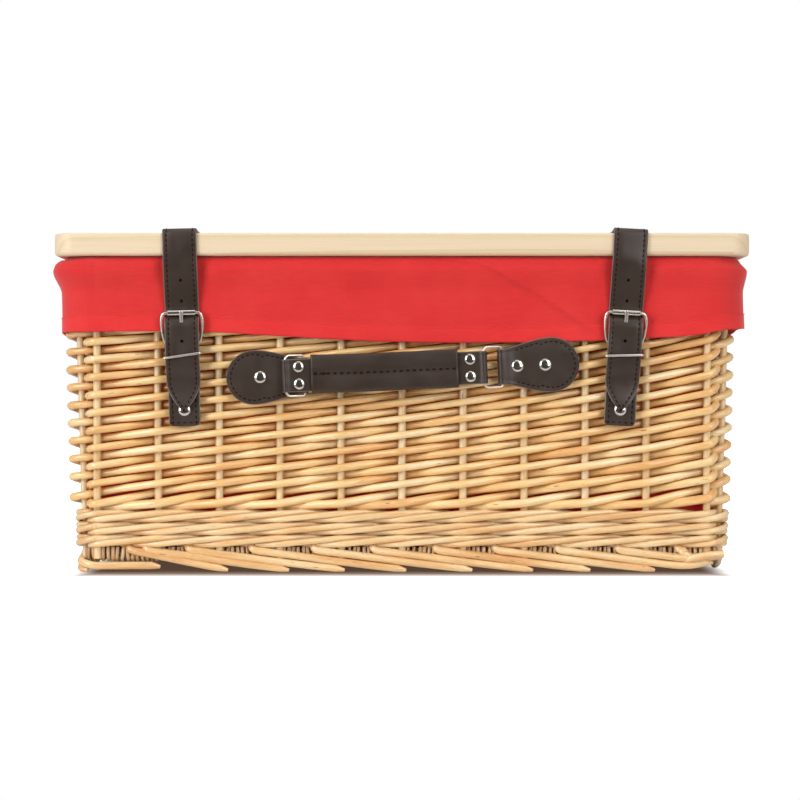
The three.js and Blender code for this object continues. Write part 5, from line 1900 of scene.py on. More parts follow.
def chape_line():
    """The chape's middle line: up behind the heel bar, round it and down in front."""
    y, z = HEEL
    eye = CHAPE_EYE - CHAPE_LAYER / 2
    back = CHAPE_BACK - CHAPE_LAYER / 2
    front = CHAPE_FRONT + CHAPE_LAYER / 2
    low, high = CHAPE_DRAWN
    up = [(back, CHAPE_FOOT), (back, low), (y + eye, high)]
    down = [(y - eye, high), (front, low), (front, CHAPE_FOOT)]
    return up + arc(y, z, eye, 0, 180, 12) + down


def chape_half(z):
    """Half the chape's width at a height: narrow at the fold, its foot corners rounded."""
    wide = np.interp(z, (153.5, 163.5), (11.5, 9.4))
    foot = np.clip(CHAPE_FOOT + CHAPE_CORNER - z, 0, CHAPE_CORNER)
    return wide - (CHAPE_CORNER - np.sqrt(np.maximum(CHAPE_CORNER**2 - foot**2, 0)))


def slot_chape(side, piece):
    """Cuts the prong's slot into a chape's fold."""
    y, z = HEEL
    path = [strap_lean(side, (0, y - SLOT_AHEAD, z + end)) for end in SLOT_ENDS]
    slot = wire("slot", path, SLOT_WIDTH, piece.data.materials[0], (1, 0, 0), closed=False, sides=16)
    for vertex in slot.data.vertices:
        vertex.co.y = vertex.co.y * SLOT_DEEPER - (SLOT_DEEPER - 1) * y * MM
    cut_with(piece, slot)


def fold_chape(side):
    """One chape: leather folded round the buckle's heel bar, and its seams."""
    smooth = smooth_line(chape_line(), 3)
    whole = length_of(smooth)
    ends = 3.3 * (1 - np.cos(np.linspace(0, math.pi / 2, 7)))
    stations = np.concatenate([ends, np.arange(4.5, whole - 4.5, 1.5), whole - ends[::-1]])
    line = spaced(smooth, stations)[::-1]
    halves = chape_half(line[:, 1])
    piece = band(f"{side}_folded_chape", line, halves, CHAPE_LAYER, strap_place(side))
    slot_chape(side, piece)
    sharp_above(piece, LEATHER_CRISP)
    settle(piece, "basket", "dark_leather", f"{side}_chape")
    low, high = CHAPE_SEWN
    sewn = (line[:, 1] < high) & (line[:, 1] > low) & (line[:, 0] < SEWN_AHEAD_OF)
    seams = seam_lines(strap_place(side), line[sewn], halves[sewn], CHAPE_LAYER)
    across = np.linspace(-FOOT_SEAM_HALF, FOOT_SEAM_HALF, 12)
    foot = strap_lean(side, [(x, CHAPE_FRONT - 0.02, FOOT_SEAM_Z) for x in across])
    return [*seams, {"points": foot, "out": TO_FRONT}]


def fold_wall_leather(sizes):
    """The leather that is riveted to the wall: chapes, tails and the handle's tabs."""
    seams = []
    for make in (fold_chape, hang_tail, fold_tab):
        for side in STRAPS:
            seams += make(side)
    sew_leather("wall_leather_stitches", seams, sizes.stitch_pitch, "basket")


TAIL_DOWN = ((176.3, 231.85), (168.94, 176.0), (167.43, 165.0), (166.12, 118.0))
TAIL_CORNER = 6.0


def hang_tail(side):
    """One strap's tail down the back, on which the lid hinges, and its seams."""
    line, left = along_strap(TAIL_DOWN, tip=TAIL_CORNER)
    near = np.clip(1 - left / TAIL_CORNER, 0, 1)
    halves = STRAP_WIDTH / 2 - TAIL_CORNER * (1 - np.sqrt(np.clip(1 - near**2, 0, 1)))
    place = straight_place(side)
    piece = band(f"{side}_tail_strap", line, halves, STRAP, place)
    settle(piece, "basket", "dark_leather", f"{side}_hinge_tail")
    return seam_lines(place, line, halves, STRAP)


SIGNS = {"left": -1, "right": 1}
TAB_LAYER = 1.5
TAB_STITCH_IN = 3.2
# How the front layer eases down from the ring to the back layer: x, and the share of the drop
TAB_EASE = ((-3.2, 1.0), (-5.0, 0.64), (-7.0, 0.36), (-9.5, 0.16), (-12.5, 0.05), (-16.0, 0.0))
TAB_LOOP_Y = -4.6


def tab_place(sign):
    """Maps a tab's plane line (x outwards is negative, y) and its height to the hamper."""

    def place(p):
        x = sign * TAB_PIVOT - sign * p[..., 0]
        return handle_lean(np.stack([x, p[..., 1], p[..., 2]], -1))

    return place


def tab_line():
    """The tab's middle line, from its round end along the wall, round the ring and back."""
    end = TAB_REACH + TAB_RADIUS
    mid = TAB_LAYER / 2
    loop = arc(0, -TAB_FOLD, TAB_FOLD - mid, 90, -105, 14)
    flat = -TAB_FOLD + mid
    drop_by = TAB_LOOP_Y - flat
    front = [(x, flat + drop_by * share) for x, share in TAB_EASE]
    return [(-end, -mid), (-30.0, -mid), *loop, *front, (-end, flat)]


def tab_half(x):
    """Half the tab's height at a distance along it."""
    away = np.abs(x + TAB_REACH)
    round_end = np.sqrt(np.maximum(TAB_RADIUS**2 - away**2, 0.01))
    share = np.clip(-x / TAB_REACH, 0, 1)
    side = TAB_NECK + (TAB_RADIUS - TAB_NECK) * np.sin(math.pi / 2 * share) ** 1.6
    return np.where(x < -TAB_REACH, round_end, np.minimum(side, TAB_RADIUS))


def tab_seam():
    """The tab's seam on its front face: along the neck and round the end, as x and height."""
    reach = TAB_RADIUS - TAB_STITCH_IN
    turn = arc(-TAB_REACH, 0.0, reach, 62, 298, 59)
    top = [(x, float(tab_half(np.array([x]))[0]) - TAB_STITCH_IN) for x in np.linspace(-8, -27, 8)]
    return np.array(top + turn + [(x, -z) for x, z in reversed(top)])


def fold_tab(side):
    """One of the handle's tabs: leather folded round a ring and riveted through the wall."""
    smooth = smooth_line(tab_line(), 2)
    whole = length_of(smooth)
    ends = TAB_RADIUS * (1 - np.cos(np.linspace(0, math.pi / 2, 20)))
    stations = np.concatenate([ends, np.arange(21.5, whole - 21.5, 1.3), whole - ends[::-1]])
    line = spaced(smooth, stations)
    halves = tab_half(line[:, 0])
    if side == "right":
        line, halves = line[::-1], halves[::-1]
    place = tab_place(SIGNS[side])
    piece = band(f"{side}_leather_tab", line, halves, TAB_LAYER, place)
    settle(piece, "basket", "dark_leather", f"{side}_handle_tab")
    seam = tab_seam()
    face = np.full(len(seam), -TAB_FOLD - 0.02)
    points = place(np.column_stack([seam[:, 0], face, seam[:, 1]]))
    return [{"points": points, "out": TO_FRONT}]


HANDLE_LAYER = 1.5
HANDLE_HALF = 12.0
# The handle's loops turn this far round the rings, in degrees, round the ring's wire with play.
LOOP_TURN = 138
LOOP_PLAY = 0.15
# Where both layers lie together again, from the ring's middle
LOOP_REACH = 3.3
GRIP_LENGTH = 107.0
GRIP_HALF_HEIGHT = 14.0
GRIP_HALF_DEPTH = 4.25
# How the grip's ends are drawn in, by the distance from the end
GRIP_END = ((0.0, 1.0), (0.25, 0.45), (0.8, 0.15), (1.8, 0.04), (3.5, 0.0))
GRIP_SEAM_Y = -3.62
GRIP_SEAM_HALF = 50.5
KNOT_PITCH = 3.2
KNOT_POINTS = 6


def grip_bow(x):
    """How far the grip's middle line runs above straight: it lifts towards the left end."""
    return 0.9 * np.clip(-x / 53.5, 0, 1) ** 2 + 0.12 * np.sin(x / 23.0)


def handle_place(p):
    """Maps points of the handle at rest, given about its middle, to the hamper."""
    return handle_lean(np.stack([p[..., 0] - LINK_RUN, p[..., 1] + HANDLE_Y, p[..., 2]], -1))


def loop_handle():
    """The handle's strap: two plies that loop both rings."""
    mid = HANDLE_LAYER / 2
    eye = RING_WIRE / 2 + LOOP_PLAY + mid
    right = arc(TAB_PIVOT, 0, eye, LOOP_TURN, -LOOP_TURN, 16)
    left = arc(-TAB_PIVOT, 0, eye, LOOP_TURN - 180, -LOOP_TURN - 180, 16)
    near = TAB_PIVOT - LOOP_REACH
    front = [(x, -mid) for x in np.linspace(near, -near, 60)]
    back = [(x, mid) for x in np.linspace(-near, near, 60)]
    line = np.array(right + front + left + back)[::-1]
    halves = np.full(len(line), HANDLE_HALF)
    strap = band("handle_band", line, halves, HANDLE_LAYER, handle_place, closed=True)
    settle(strap, "handle", "dark_leather", "handle_strap")


def grip_ring(x, pull):
    """One section of the grip: a soft box, drawn in at its ends and along its front seam."""
    ring = []
    for t in np.linspace(0, 2 * math.pi, 64, endpoint=False):
        c, n = math.cos(t), math.sin(t)
        v = GRIP_HALF_HEIGHT * np.sign(n) * abs(n) ** 0.62 * (1 - 0.015 * pull)
        u = GRIP_HALF_DEPTH * np.sign(c) * abs(c) ** 0.42 * (1 - 0.16 * pull)
        if u < 0:
            # The seam where the wrap's two edges meet draws the front in.
            u += 0.75 * math.exp(-((v / 1.1) ** 2)) + 0.25 * math.exp(-((v / 4.0) ** 2))
            u += 0.16 * math.sin(x / 9.0 + v / 5.0) * math.exp(-(((abs(v) - 7) / 4.0) ** 2))
        ring.append((x, u, v + grip_bow(x)))
    return ring


def wrap_grip():
    """The padded sleeve round the handle's strap."""
    ends, shrink = np.array(GRIP_END).T
    inner = np.linspace(6, GRIP_LENGTH - 6, 60)
    stations = np.concatenate([ends, inner, GRIP_LENGTH - ends[::-1]])
    tight = np.concatenate([shrink, np.zeros(len(inner)), shrink[::-1]])
    rings = [grip_ring(s - GRIP_LENGTH / 2, pull) for s, pull in zip(stations, tight)]
    grip = lofted("grip_wrap", handle_place(np.array(rings)), finish_of("brown_leather"))
    sharp_above(grip, 60)
    settle(grip, "handle", "dark_leather", "handle_sleeve")


def make_handle(sizes):
    """The handle: a two-ply strap that loops both rings, and a padded grip sewn round it."""
    loop_handle()
    wrap_grip()
    x = np.linspace(-GRIP_SEAM_HALF, GRIP_SEAM_HALF, 80)
    middle = handle_place(np.stack([x, np.full(80, GRIP_SEAM_Y), grip_bow(x)], 1))
    seam = {"points": middle, "out": TO_FRONT}
    sew_leather("grip_stitches", [seam], sizes.grip_stitch_pitch, "handle", GRIP_STITCH)
    # The seam starts with three tight, doubled stitches.
    knot = {"points": middle[:KNOT_POINTS], "out": TO_FRONT}
    sew_leather("grip_knot_stitches", [knot], KNOT_PITCH * MM, "handle", KNOT_STITCH)


# The metal


# Half the buckle's outline: across, and up from heel bar to top bar as a share
FRAME_HALF = (
    (8.0, 0.0), (11.8, 0.0), (13.3, 0.12), (14.3, 0.38),
    (14.95, 0.62), (14.9, 0.82), (13.6, 1.0), (8.0, 1.0),
)
FRAME_WIRE = 2.4
# The roller: half its length, its outer and inner radius and its edges' bevel
ROLLER_HALF = 10.25
ROLLER_OUT = 2.3
ROLLER_IN = 1.45
ROLLER_BEVEL = 0.3
# The prong: where it starts from the bar's middle, half its width there, how much of that it
# loses, half its height and its round end
PRONG_START = 1.6
PRONG_HALF = 1.6
PRONG_TAPER = 0.35
PRONG_RISE = 0.8
PRONG_END = 1.2
# The prong's eye round the heel bar, as radius and place along the bar
PRONG_EYE = (
    (1.35, -1.6), (2.3, -1.6), (2.65, -1.3), (2.65, 1.3),
    (2.3, 1.6), (1.35, 1.6), (1.35, -1.6),
)
KEEPER_HALF = 13.45
KEEPER_CORNER = 1.3
KEEPER_WIRE = 1.8
# How far each keeper stands askew, in degrees
KEEPER_TILT = {"left": 7.0, "right": 4.5}


def bar_place(side, bar):
    """Maps points about a bar of the buckle, the bar along their third axis, to the hamper."""
    y, z = bar
    return lambda p: strap_lean(side, np.stack([p[..., 2], p[..., 0] + y, p[..., 1] + z], -1))


def turn_of(side, direction):
    """A direction leaned as the strap set is."""
    return strap_lean(side, direction) - strap_lean(side, (0, 0, 0))


def bored(obj):
    """Opens the filled ends of a turned sleeve whose profile closes on itself."""
    made = bmesh.new()
    made.from_mesh(obj.data)
    ends = [f for f in made.faces if len(f.verts) > 4]
    bmesh.ops.delete(made, geom=ends, context="FACES_ONLY")
    bmesh.ops.remove_doubles(made, verts=made.verts, dist=1e-6)
    bmesh.ops.recalc_face_normals(made, faces=made.faces)
    made.to_mesh(obj.data)
    made.free()
    return obj


def joined(obj, other):
    """Adds the second object's mesh to the first and removes the second object."""
    made = bmesh.new()
    made.from_mesh(other.data)
    made.from_mesh(obj.data)
    made.to_mesh(obj.data)
    made.free()
    drop(other)
    return obj


def bend_frame(side):
    """The buckle's wire frame."""
    heel = np.array(HEEL)
    up = np.array(TOP_BAR) - heel
    reach = float(np.linalg.norm(up))
    up /= reach
    half = [(x, s * reach) for x, s in FRAME_HALF]
    outline = np.array(half + [(-x, s) for x, s in reversed(half)])
    outline = smooth_line(np.vstack([outline, outline[:1]]), 3)[:-1]
    path = strap_lean(side, [(x, *(heel + up * s)) for x, s in outline])
    across = turn_of(side, (0, up[1], -up[0]))
    frame_wire = wire(f"{side}_buckle_wire", path, FRAME_WIRE, finish_of("satin_nickel"), across)
    settle(frame_wire, f"{side}_buckle", "nickel", f"{side}_buckle_frame")


def turn_roller(side):
    """The roller on the buckle's top bar."""
    half, out, inner, bevel = ROLLER_HALF, ROLLER_OUT, ROLLER_IN, ROLLER_BEVEL
    profile = [(inner, -half), (out - bevel, -half), (out, -half + bevel)]
    profile += [(out, half - bevel), (out - bevel, half), (inner, half), (inner, -half)]
    place = bar_place(side, TOP_BAR)
    tube = turned(f"{side}_roller_sleeve", profile, place, finish_of("rolled_nickel"), 28)
    sharp_above(bored(tube), 35)
    settle(tube, f"{side}_roller_tube", "nickel", f"{side}_roller")


def shape_prong(side):
    """The prong: a flattened tongue with an eye round the heel bar."""
    nickel = finish_of("satin_nickel")
    heel = np.array(HEEL)
    way = np.array(PRONG_TIP) - heel
    long = float(np.linalg.norm(way))
    way /= long
    side_way = np.array([-way[1], way[0]])
    body = np.linspace(PRONG_START, long - PRONG_END, 18)
    rings = []
    for s in np.concatenate([body, long - PRONG_END + np.array([0.5, 0.9, 1.15])]):
        end = max(0.0, (s - (long - PRONG_END)) / PRONG_END)
        size = math.sqrt(max(1 - end**2, 0.04))
        w = (PRONG_HALF - PRONG_TAPER * s / long) * size
        h = PRONG_RISE * size
        ring = []
        for a in np.linspace(0, 2 * math.pi, 16, endpoint=False):
            c, n = math.cos(a), math.sin(a)
            lift = h * np.sign(n) * abs(n) ** 0.7
            at = heel + way * s + side_way * lift
            ring.append((w * np.sign(c) * abs(c) ** 0.7, *at))
        rings.append(ring)
    tongue = lofted(f"{side}_prong_wire", strap_lean(side, rings), nickel)
    eye = bored(turned("eye", PRONG_EYE, bar_place(side, HEEL), nickel, 24))
    sharp_above(joined(tongue, eye), 40)
    settle(tongue, f"{side}_prong_pin", "nickel", f"{side}_prong")


def bend_keeper(side):
    """The keeper: a wire loop round chape and strap."""
    tilt = math.radians(KEEPER_TILT[side])
    deep = (HEEL[0] - KEEPER_FRONT) / 2
    mid_y = (HEEL[0] + KEEPER_FRONT) / 2
    loop = rounded_box(KEEPER_HALF, deep, KEEPER_CORNER, 6)
    path = strap_lean(side, [(x, y + mid_y, KEEPER_Z + x * math.tan(tilt)) for x, y in loop])
    across = turn_of(side, (-math.sin(tilt), 0, math.cos(tilt)))
    keeper = wire(f"{side}_keeper_wire", path, KEEPER_WIRE, finish_of("satin_nickel"), across)
    settle(keeper, f"{side}_keeper_loop", "nickel", f"{side}_keeper")


def fit_buckles(sizes):
    """The buckles: wire frame, roller, prong and the keeper loop below."""
    for side in STRAPS:
        bend_frame(side)
        turn_roller(side)
        shape_prong(side)
        bend_keeper(side)


# The rings: their height over the wire, and the bends at the tab and at the handle
RING_HEIGHT = 31.4
RING_TIGHT = 1.8
RING_BEND = 3.6


def link_rings(sizes):
    """The handle's two wire rings, each with one wider bend."""
    half = (RING_HEIGHT - RING_WIRE) / 2
    flat = arc(RING_TIGHT, RING_TIGHT - half, RING_TIGHT, 180, 270, 6)
    flat += arc(LINK - RING_BEND, RING_BEND - half, RING_BEND, -90, 0, 8)
    flat += arc(LINK - RING_BEND, half - RING_BEND, RING_BEND, 0, 90, 8)
    flat += arc(RING_TIGHT, half - RING_TIGHT, RING_TIGHT, 90, 180, 6)
    way = np.array([-math.cos(LINK_ANGLE), -math.sin(LINK_ANGLE), 0.0])
    across = handle_lean((way[1], -way[0], 0.0)) - handle_lean((0.0, 0.0, 0.0))
    for side, sign in SIGNS.items():
        path = np.array([way * s + np.array([0, 0, z]) for s, z in flat])
        path[:, 0] += sign * TAB_PIVOT
        path[:, 1] -= TAB_FOLD
        nickel = finish_of("satin_nickel")
        ring = wire(f"{side}_ring_wire", handle_lean(path), RING_WIRE, nickel, across)
        settle(ring, f"{side}_ring_link", "nickel", f"{side}_ring")


# A cap is flatter on top than a ball: 2 would be round.
CAP_CROWN = 2.7
# A cap one unit across: its rolled rim as radius and height, and shares of the radius above it
CAP_RIM = ((0.0, -0.02), (0.40, -0.02), (0.485, 0.0), (0.5, 0.018), (0.49, 0.04), (0.462, 0.052))
CAP_DOME = (0.93, 0.88, 0.82, 0.75, 0.66, 0.55, 0.42, 0.28, 0.14, 0.0)
CAP_RIM_TOP = 0.06
SCREW_SLOT_HALF = 0.05
SCREW_SLOT_DEEP = 0.09
BOX_FACES = ((0, 1, 3, 2), (4, 6, 7, 5), (0, 4, 5, 1), (2, 3, 7, 6), (0, 2, 6, 4), (1, 5, 7, 3))
TAB_CAP = 1.12
# The handle's rivets: from the ring's middle, and up and down from the handle's
HANDLE_RIVET_IN = 9.8
HANDLE_RIVET_UP = 6.25
# Caps are let into the leather by this much.
CAP_SUNK = 0.02
RIVET_SUNK = 0.05


def cap_shape(name, rise, slotted=False):
    """A domed cap one unit across on z = 0, with a thin rolled rim."""
    dome = [(0.5 * r, rise * math.sqrt(1 - r**CAP_CROWN)) for r in CAP_DOME]
    profile = [*CAP_RIM, *[(r, height) for r, height in dome if height > CAP_RIM_TOP]]
    profile = [(max(r, 0.002), height) for r, height in profile]
    obj = turned(name, profile, lambda p: p / MM, finish_of("bright_nickel"))
    if slotted:
        half = SCREW_SLOT_HALF
        heights = (rise - SCREW_SLOT_DEEP, rise + 0.2)
        points = [(x, y, z) for x in (-0.6, 0.6) for y in (-half, half) for z in heights]
        points = np.array(points) / MM
        slot = mesh_piece("slot", points, BOX_FACES, finish_of("bright_nickel"), False)
        cut_with(obj, facing_out(slot))
        sharp_above(obj, 30)
    return obj


def wall_face(z):
    """The outer face of the front wall's rods, as y."""
    return -(CORNER_Y + radius_at(z) + ROD_OUT)


def set_caps(name, places, shape, body):
    """Sets a cap on each place: its node, its point, its direction and its width in metres."""
    lines = [
        {"points": np.array([point], float), "out": np.array([way], float), "thick": size}
        for _, point, way, size in places
    ]
    obj = grown(name, "fasteners", lines, Shape=shape, Size=1.0, Material=finish_of("bright_nickel"))
    settle(obj, body, "nickel", *[node for node, _, _, _ in places])


def wall_rivets(sizes):
    """The rivets' places on the wall: chapes, tails and tabs."""
    places = []
    for side, (x0, _) in STRAPS.items():
        at = strap_lean(side, (0, CHAPE_FRONT + RIVET_SUNK, CHAPE_RIVET_Z))
        places.append((f"{side}_chape_rivet", at, TO_FRONT, sizes.rivet_cap))
        for z, place in zip(TAIL_RIVETS_Z, ("upper", "lower")):
            at = (x0, -wall_face(z) + 0.3 + STRAP - RIVET_SUNK, z)
            places.append((f"{side}_tail_rivet_{place}", at, TO_BACK, sizes.rivet_cap))
    for side, sign in SIGNS.items():
        for along, place in zip(TAB_RIVETS, ("inner", "outer")):
            at = handle_lean((sign * (TAB_PIVOT + along), -TAB_FOLD + CAP_SUNK, 0.0))
            size = sizes.small_rivet_cap * TAB_CAP
            places.append((f"{side}_tab_rivet_{place}", at, TO_FRONT, size))
    return places


def handle_rivets(sizes):
    """The rivets' places on the handle."""
    places = []
    for side, sign in SIGNS.items():
        for up, place in ((1, "upper"), (-1, "lower")):
            x = sign * (TAB_PIVOT - HANDLE_RIVET_IN) - LINK_RUN
            at = handle_lean((x, HANDLE_Y - HANDLE_LAYER + CAP_SUNK, up * HANDLE_RIVET_UP))
            name = f"{side}_handle_rivet_{place}"
            places.append((name, at, TO_FRONT, sizes.small_rivet_cap))
    return places


def lid_screws(sizes):
    """The screws' places on the straps over the lid."""
    places = []
    for side, (x0, _) in STRAPS.items():
        for y, place in zip(SCREWS_Y, ("front", "rear")):
            at = (x0, y, STRAP_TOP + STRAP / 2 - CAP_SUNK)
            places.append((f"{side}_lid_screw_{place}", at, UPWARDS, sizes.screw_head))
    return places


def set_rivets(sizes):
    """The rivets and lid screws: domed caps on every leather end."""
    cap = cap_shape("cap_shape", 0.19)
    screw = cap_shape("screw_shape", 0.2, slotted=True)
    set_caps("wall_rivets", wall_rivets(sizes), cap, "basket")
    set_caps("handle_rivets", handle_rivets(sizes), cap, "handle")
    set_caps("lid_screws", lid_screws(sizes), screw, "lid")
    drop(cap)
    drop(screw)


# The studio


CAMERA_AT = (-0.0015, -1.775, 0.1268)
LENS_MM = 98.9
SENSOR_MM = 36.0
CLIPPED = (0.05, 60.0)
FLOOR_BACK = 7.0
FLOOR_FRONT = 0.42
# Each lamp's place, width and height in metres, and its power in watts
LAMPS = (
    ("left_lamp", (-1.41, -1.45, 0.74), 1.0, 1.5, 27.0),
    ("right_lamp", (1.05, -1.66, 0.8), 0.95, 1.6, 18.0),
    ("top_lamp", (0.0, -0.3, 2.3), 1.5, 1.5, 10.0),
)
LAMPS_AIM = (0.0, 0.0, 0.12)
ROOM_TONE = (0.96, 0.98, 1.0, 1.0)
# The room behind the camera is dim, the side walls are pale: where, and how bright
ROOM_TURNS = (-0.9, -0.6)
ROOM_GLOW = (0.06, 0.5)


def lay_floor():
    """The white floor."""
    back = FLOOR_BACK / MM
    front = -FLOOR_FRONT / MM
    points = [(-back, front, 0), (back, front, 0), (back, back, 0), (-back, back, 0)]
    floor = mesh_piece("studio_floor", points, [(0, 1, 2, 3)], finish_of("studio_floor"))


def hang_lamps():
    """The soft lamps, turned to the hamper."""
    for name, place, width, height, power in LAMPS:
        lamp = bpy.data.lights.new(name, "AREA")
        lamp.shape = "RECTANGLE"
        lamp.size = width
        lamp.size_y = height
        lamp.energy = power
        obj = bpy.data.objects.new(name, lamp)
        obj.location = place
        aim = np.array(LAMPS_AIM) - np.array(place)
        flat = math.hypot(aim[0], aim[1])
        obj.rotation_euler = (math.atan2(flat, -aim[2]), 0.0, math.atan2(-aim[0], aim[1]))
        bpy.context.scene.collection.objects.link(obj)


def surround():
    """The pale room round the hamper, which the camera sees as white."""
    world = bpy.data.worlds.new("surroundings")
    world.use_nodes = True
    tree = world.node_tree
    tree.nodes.clear()
    path = add(tree, "ShaderNodeLightPath")
    seen = add(
        tree,
        "ShaderNodeMath",
        {0: path.outputs["Is Camera Ray"], 1: path.outputs["Is Transmission Ray"]},
        operation="MAXIMUM",
    )
    place = add(tree, "ShaderNodeTexCoord")
    axes = add(tree, "ShaderNodeSeparateXYZ", {"Vector": place.outputs["Generated"]})
    ends = {"From Min": ROOM_TURNS[0], "From Max": ROOM_TURNS[1]}
    ends.update({"To Min": ROOM_GLOW[0], "To Max": ROOM_GLOW[1]})
    glow = add(tree, "ShaderNodeMapRange", {"Value": axes.outputs["Y"], **ends})
    lit = {"Color": ROOM_TONE, "Strength": glow.outputs["Result"]}
    room = add(tree, "ShaderNodeBackground", lit)
    white = add(tree, "ShaderNodeBackground", {"Color": WHITE, "Strength": 1.0})
    shown = {0: seen.outputs[0], 1: room.outputs[0], 2: white.outputs[0]}
    mixed = add(tree, "ShaderNodeMixShader", shown)
    add(tree, "ShaderNodeOutputWorld", {"Surface": mixed.outputs[0]})
    bpy.context.scene.world = world


def set_camera():
    """The camera, level and in front of the hamper."""
    view = bpy.data.cameras.new("camera")
    view.lens = LENS_MM
    view.sensor_width = SENSOR_MM
    view.clip_start, view.clip_end = CLIPPED
    camera = bpy.data.objects.new("camera", view)
    camera.location = CAMERA_AT
    camera.rotation_euler = (math.pi / 2, 0.0, 0.0)
    bpy.context.scene.collection.objects.link(camera)
    bpy.context.scene.camera = camera
    bpy.context.scene.view_settings.view_transform = "Standard"


def build_stage(sizes):
    """The white floor, soft lamps, pale surroundings and the camera."""
    lay_floor()
    hang_lamps()
    surround()
    set_camera()


# The add-on


def length(name, description, millimetres):
    """A size that the user can change."""
    return bpy.props.FloatProperty(
        name=name,
        description=description,
        default=millimetres * MM,
        unit="LENGTH",
        precision=4,
    )


def colour(name, description, hex_colour):
    """A colour that the user can change."""
    return bpy.props.FloatVectorProperty(
        name=name,
        description=description,
        default=linear(hex_colour),
        subtype="COLOR",
        size=4,
        min=0.0,
        max=1.0,
    )


class HamperSizes(bpy.types.PropertyGroup):
    """Sizes of the hamper's visible pieces."""

    rod_diameter: length("Rod", "Diameter of the wall's woven rods", 5.5)
    stake_diameter: length("Stake", "Diameter of the upright stakes", 5.6)
    foot_rod_diameter: length("Foot rod", "Diameter of the foot border's rods", 5.9)
    course_rise: length("Course rise", "Height that a rod gains over two stakes", 12.0)
    course_lift: length("Course lift", "How far the courses climb towards the ends", 8.0)
    wale_diameter: length("Wale rod", "Diameter of the rods of the waling", 4.9)
    wale_rise: length("Wale round", "Height of one round of the waling", 9.1)
    wale_reach: length("Wale reach", "How far the waling rods stand out from the stakes", 4.9)
    base_rod_diameter: length("Base rod", "Diameter of the thin rods of the base", 3.1)
    stitch_pitch: length("Stitch pitch", "Distance between stitches in the leather", 3.7)
    grip_stitch_pitch: length("Grip stitch pitch", "Distance between the grip's stitches", 4.6)
    side_slack: length("Side slack", "How far the loops push the skirt out on the short sides", 3.4)
    hem_pitch: length("Hem pitch", "Distance between stitches in the hem", 2.6)
    rivet_cap: length("Rivet cap", "Diameter of the strap rivets' caps", 9.5)
    small_rivet_cap: length("Small rivet cap", "Diameter of the handle rivets' caps", 8.4)
    screw_head: length("Screw head", "Diameter of the lid screws' heads", 8.0)


class HamperColours(bpy.types.PropertyGroup):
    """Colours of the hamper's finishes."""

    willow_light: colour("Willow, light", "Lightest tone of the walls' rods", "f8dca8")
    willow: colour("Willow", "Middle tone of the walls' rods", "f5cb86")
    willow_shade: colour("Willow, shade", "Darkest tone of the walls' rods", "e8ab62")
    pine: colour("Pine", "Early wood of the lid's plank", "e6d0af")
    pine_rings: colour("Pine rings", "Late wood of the lid's plank", "d6b888")
    cloth_deep: colour("Cloth, deep", "Deeper tone of the lining's dye", "d22427")
    cloth_light: colour("Cloth, light", "Lighter tone of the lining's dye", "de3a36")
    hem_thread: colour("Hem thread", "Thread of the lining's hem", "e04a42")
    leather_dark: colour("Leather, dark", "Darker tone of the leather's face", "2d2119")
    leather_light: colour("Leather, light", "Lighter tone of the leather's face", "3b2c22")
    leather_edge: colour("Leather edge", "Cut edges of the leather", "776d63")
    leather_thread: colour("Leather thread", "Thread of the leather's seams", "2c1510")
    nickel: colour("Nickel", "Plate of buckles, rings and rivets", "ddd6ca")


def built(build, context):
    """Runs one of the building functions with the user's sizes."""
    build(context.scene.hamper_sizes)
    return {"FINISHED"}


class HAMPER_OT_stage(bpy.types.Operator):
    """Makes the floor, lamps, surroundings and camera"""

    bl_idname = "hamper.stage"
    bl_label = "Build stage"

    def execute(self, context):
        return built(build_stage, context)


class HAMPER_OT_weave(bpy.types.Operator):
    """Weaves the wall's rods"""

    bl_idname = "hamper.weave"
    bl_label = "Weave wall"

    def execute(self, context):
        return built(weave_wall, context)


class HAMPER_OT_stakes(bpy.types.Operator):
    """Stands the stakes"""

    bl_idname = "hamper.stakes"
    bl_label = "Stand stakes"

    def execute(self, context):
        return built(stand_stakes, context)


class HAMPER_OT_wale(bpy.types.Operator):
    """Twists the waling above the foot"""

    bl_idname = "hamper.wale"
    bl_label = "Twist wale"

    def execute(self, context):
        return built(twist_wale, context)


class HAMPER_OT_foot(bpy.types.Operator):
    """Lays the foot border"""

    bl_idname = "hamper.foot"
    bl_label = "Border foot"

    def execute(self, context):
        return built(border_foot, context)


class HAMPER_OT_base(bpy.types.Operator):
    """Weaves the base and wraps its edge"""

    bl_idname = "hamper.base"
    bl_label = "Weave base"

    def execute(self, context):
        return built(wrap_base, context)


class HAMPER_OT_rim(bpy.types.Operator):
    """Gives the rim border its finish"""

    bl_idname = "hamper.rim"
    bl_label = "Finish rim"

    def execute(self, context):
        return built(keep_rim, context)


class HAMPER_OT_lining(bpy.types.Operator):
    """Hangs the cloth lining and sews its hem"""

    bl_idname = "hamper.lining"
    bl_label = "Hang lining"

    def execute(self, context):
        return built(hang_lining, context)


class HAMPER_OT_lid(bpy.types.Operator):
    """Shapes the lid's plank"""

    bl_idname = "hamper.lid"
    bl_label = "Shape lid"

    def execute(self, context):
        return built(plank_lid, context)


class HAMPER_OT_straps(bpy.types.Operator):
    """Lays both straps over the lid and down the front"""

    bl_idname = "hamper.straps"
    bl_label = "Lay straps"

    def execute(self, context):
        return built(lay_straps, context)


class HAMPER_OT_wall_leather(bpy.types.Operator):
    """Folds the chapes, tails and tabs that are riveted to the wall"""

    bl_idname = "hamper.wall_leather"
    bl_label = "Fold wall leather"

    def execute(self, context):
        return built(fold_wall_leather, context)


class HAMPER_OT_handle(bpy.types.Operator):
    """Makes the handle's strap and grip"""

    bl_idname = "hamper.handle"
    bl_label = "Make handle"

    def execute(self, context):
        return built(make_handle, context)


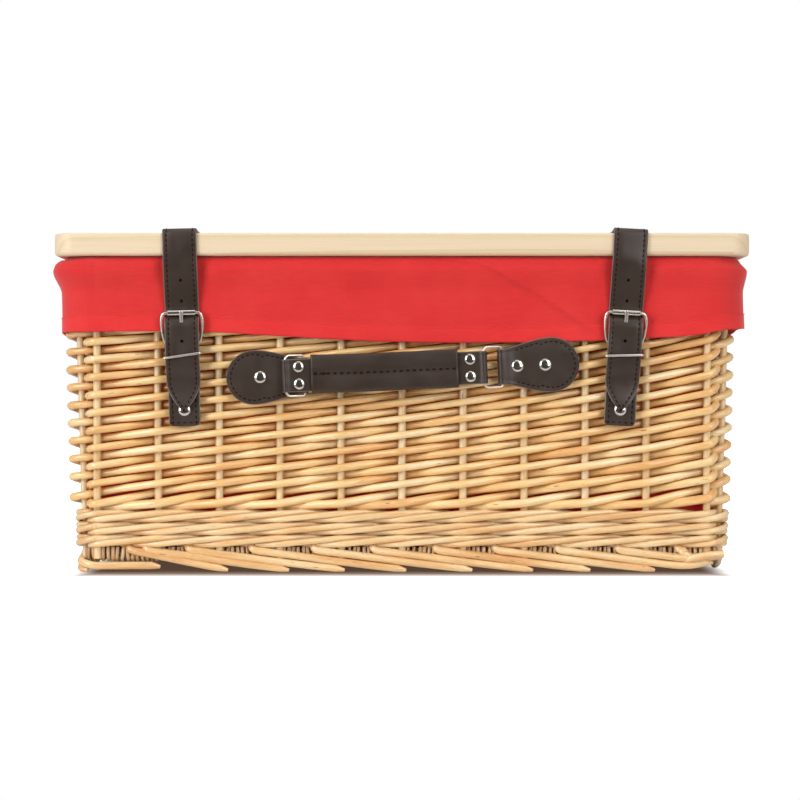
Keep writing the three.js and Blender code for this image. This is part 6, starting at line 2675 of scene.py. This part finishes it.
class HAMPER_OT_buckles(bpy.types.Operator):
    """Fits the buckles, rollers, prongs and keepers"""

    bl_idname = "hamper.buckles"
    bl_label = "Fit buckles"

    def execute(self, context):
        return built(fit_buckles, context)


class HAMPER_OT_rings(bpy.types.Operator):
    """Bends the handle's rings"""

    bl_idname = "hamper.rings"
    bl_label = "Bend rings"

    def execute(self, context):
        return built(link_rings, context)


class HAMPER_OT_rivets(bpy.types.Operator):
    """Sets every rivet and lid screw"""

    bl_idname = "hamper.rivets"
    bl_label = "Set rivets"

    def execute(self, context):
        return built(set_rivets, context)


OPERATORS = (
    HAMPER_OT_stage,
    HAMPER_OT_weave,
    HAMPER_OT_stakes,
    HAMPER_OT_wale,
    HAMPER_OT_foot,
    HAMPER_OT_base,
    HAMPER_OT_rim,
    HAMPER_OT_lining,
    HAMPER_OT_lid,
    HAMPER_OT_straps,
    HAMPER_OT_wall_leather,
    HAMPER_OT_handle,
    HAMPER_OT_buckles,
    HAMPER_OT_rings,
    HAMPER_OT_rivets,
)


class HAMPER_PT_panel(bpy.types.Panel):
    """Lists the hamper's pieces"""

    bl_idname = "HAMPER_PT_panel"
    bl_label = "Hamper"
    bl_space_type = "VIEW_3D"
    bl_region_type = "UI"
    bl_category = "Hamper"

    def draw(self, context):
        column = self.layout.column()
        for operator in OPERATORS:
            column.operator(operator.bl_idname)
        for name in HamperSizes.__annotations__:
            column.prop(context.scene.hamper_sizes, name)
        for name in HamperColours.__annotations__:
            column.prop(context.scene.hamper_colours, name)


CLASSES = (HamperSizes, HamperColours, *OPERATORS, HAMPER_PT_panel)


def register():
    for kind in CLASSES:
        bpy.utils.register_class(kind)
    bpy.types.Scene.hamper_sizes = bpy.props.PointerProperty(type=HamperSizes)
    bpy.types.Scene.hamper_colours = bpy.props.PointerProperty(type=HamperColours)


def unregister():
    del bpy.types.Scene.hamper_colours
    del bpy.types.Scene.hamper_sizes
    for kind in reversed(CLASSES):
        bpy.utils.unregister_class(kind)


def main():
    register()
    for operator in OPERATORS:
        group, name = operator.bl_idname.split(".")
        getattr(getattr(bpy.ops, group), name)()


if __name__ == "__main__":
    main()
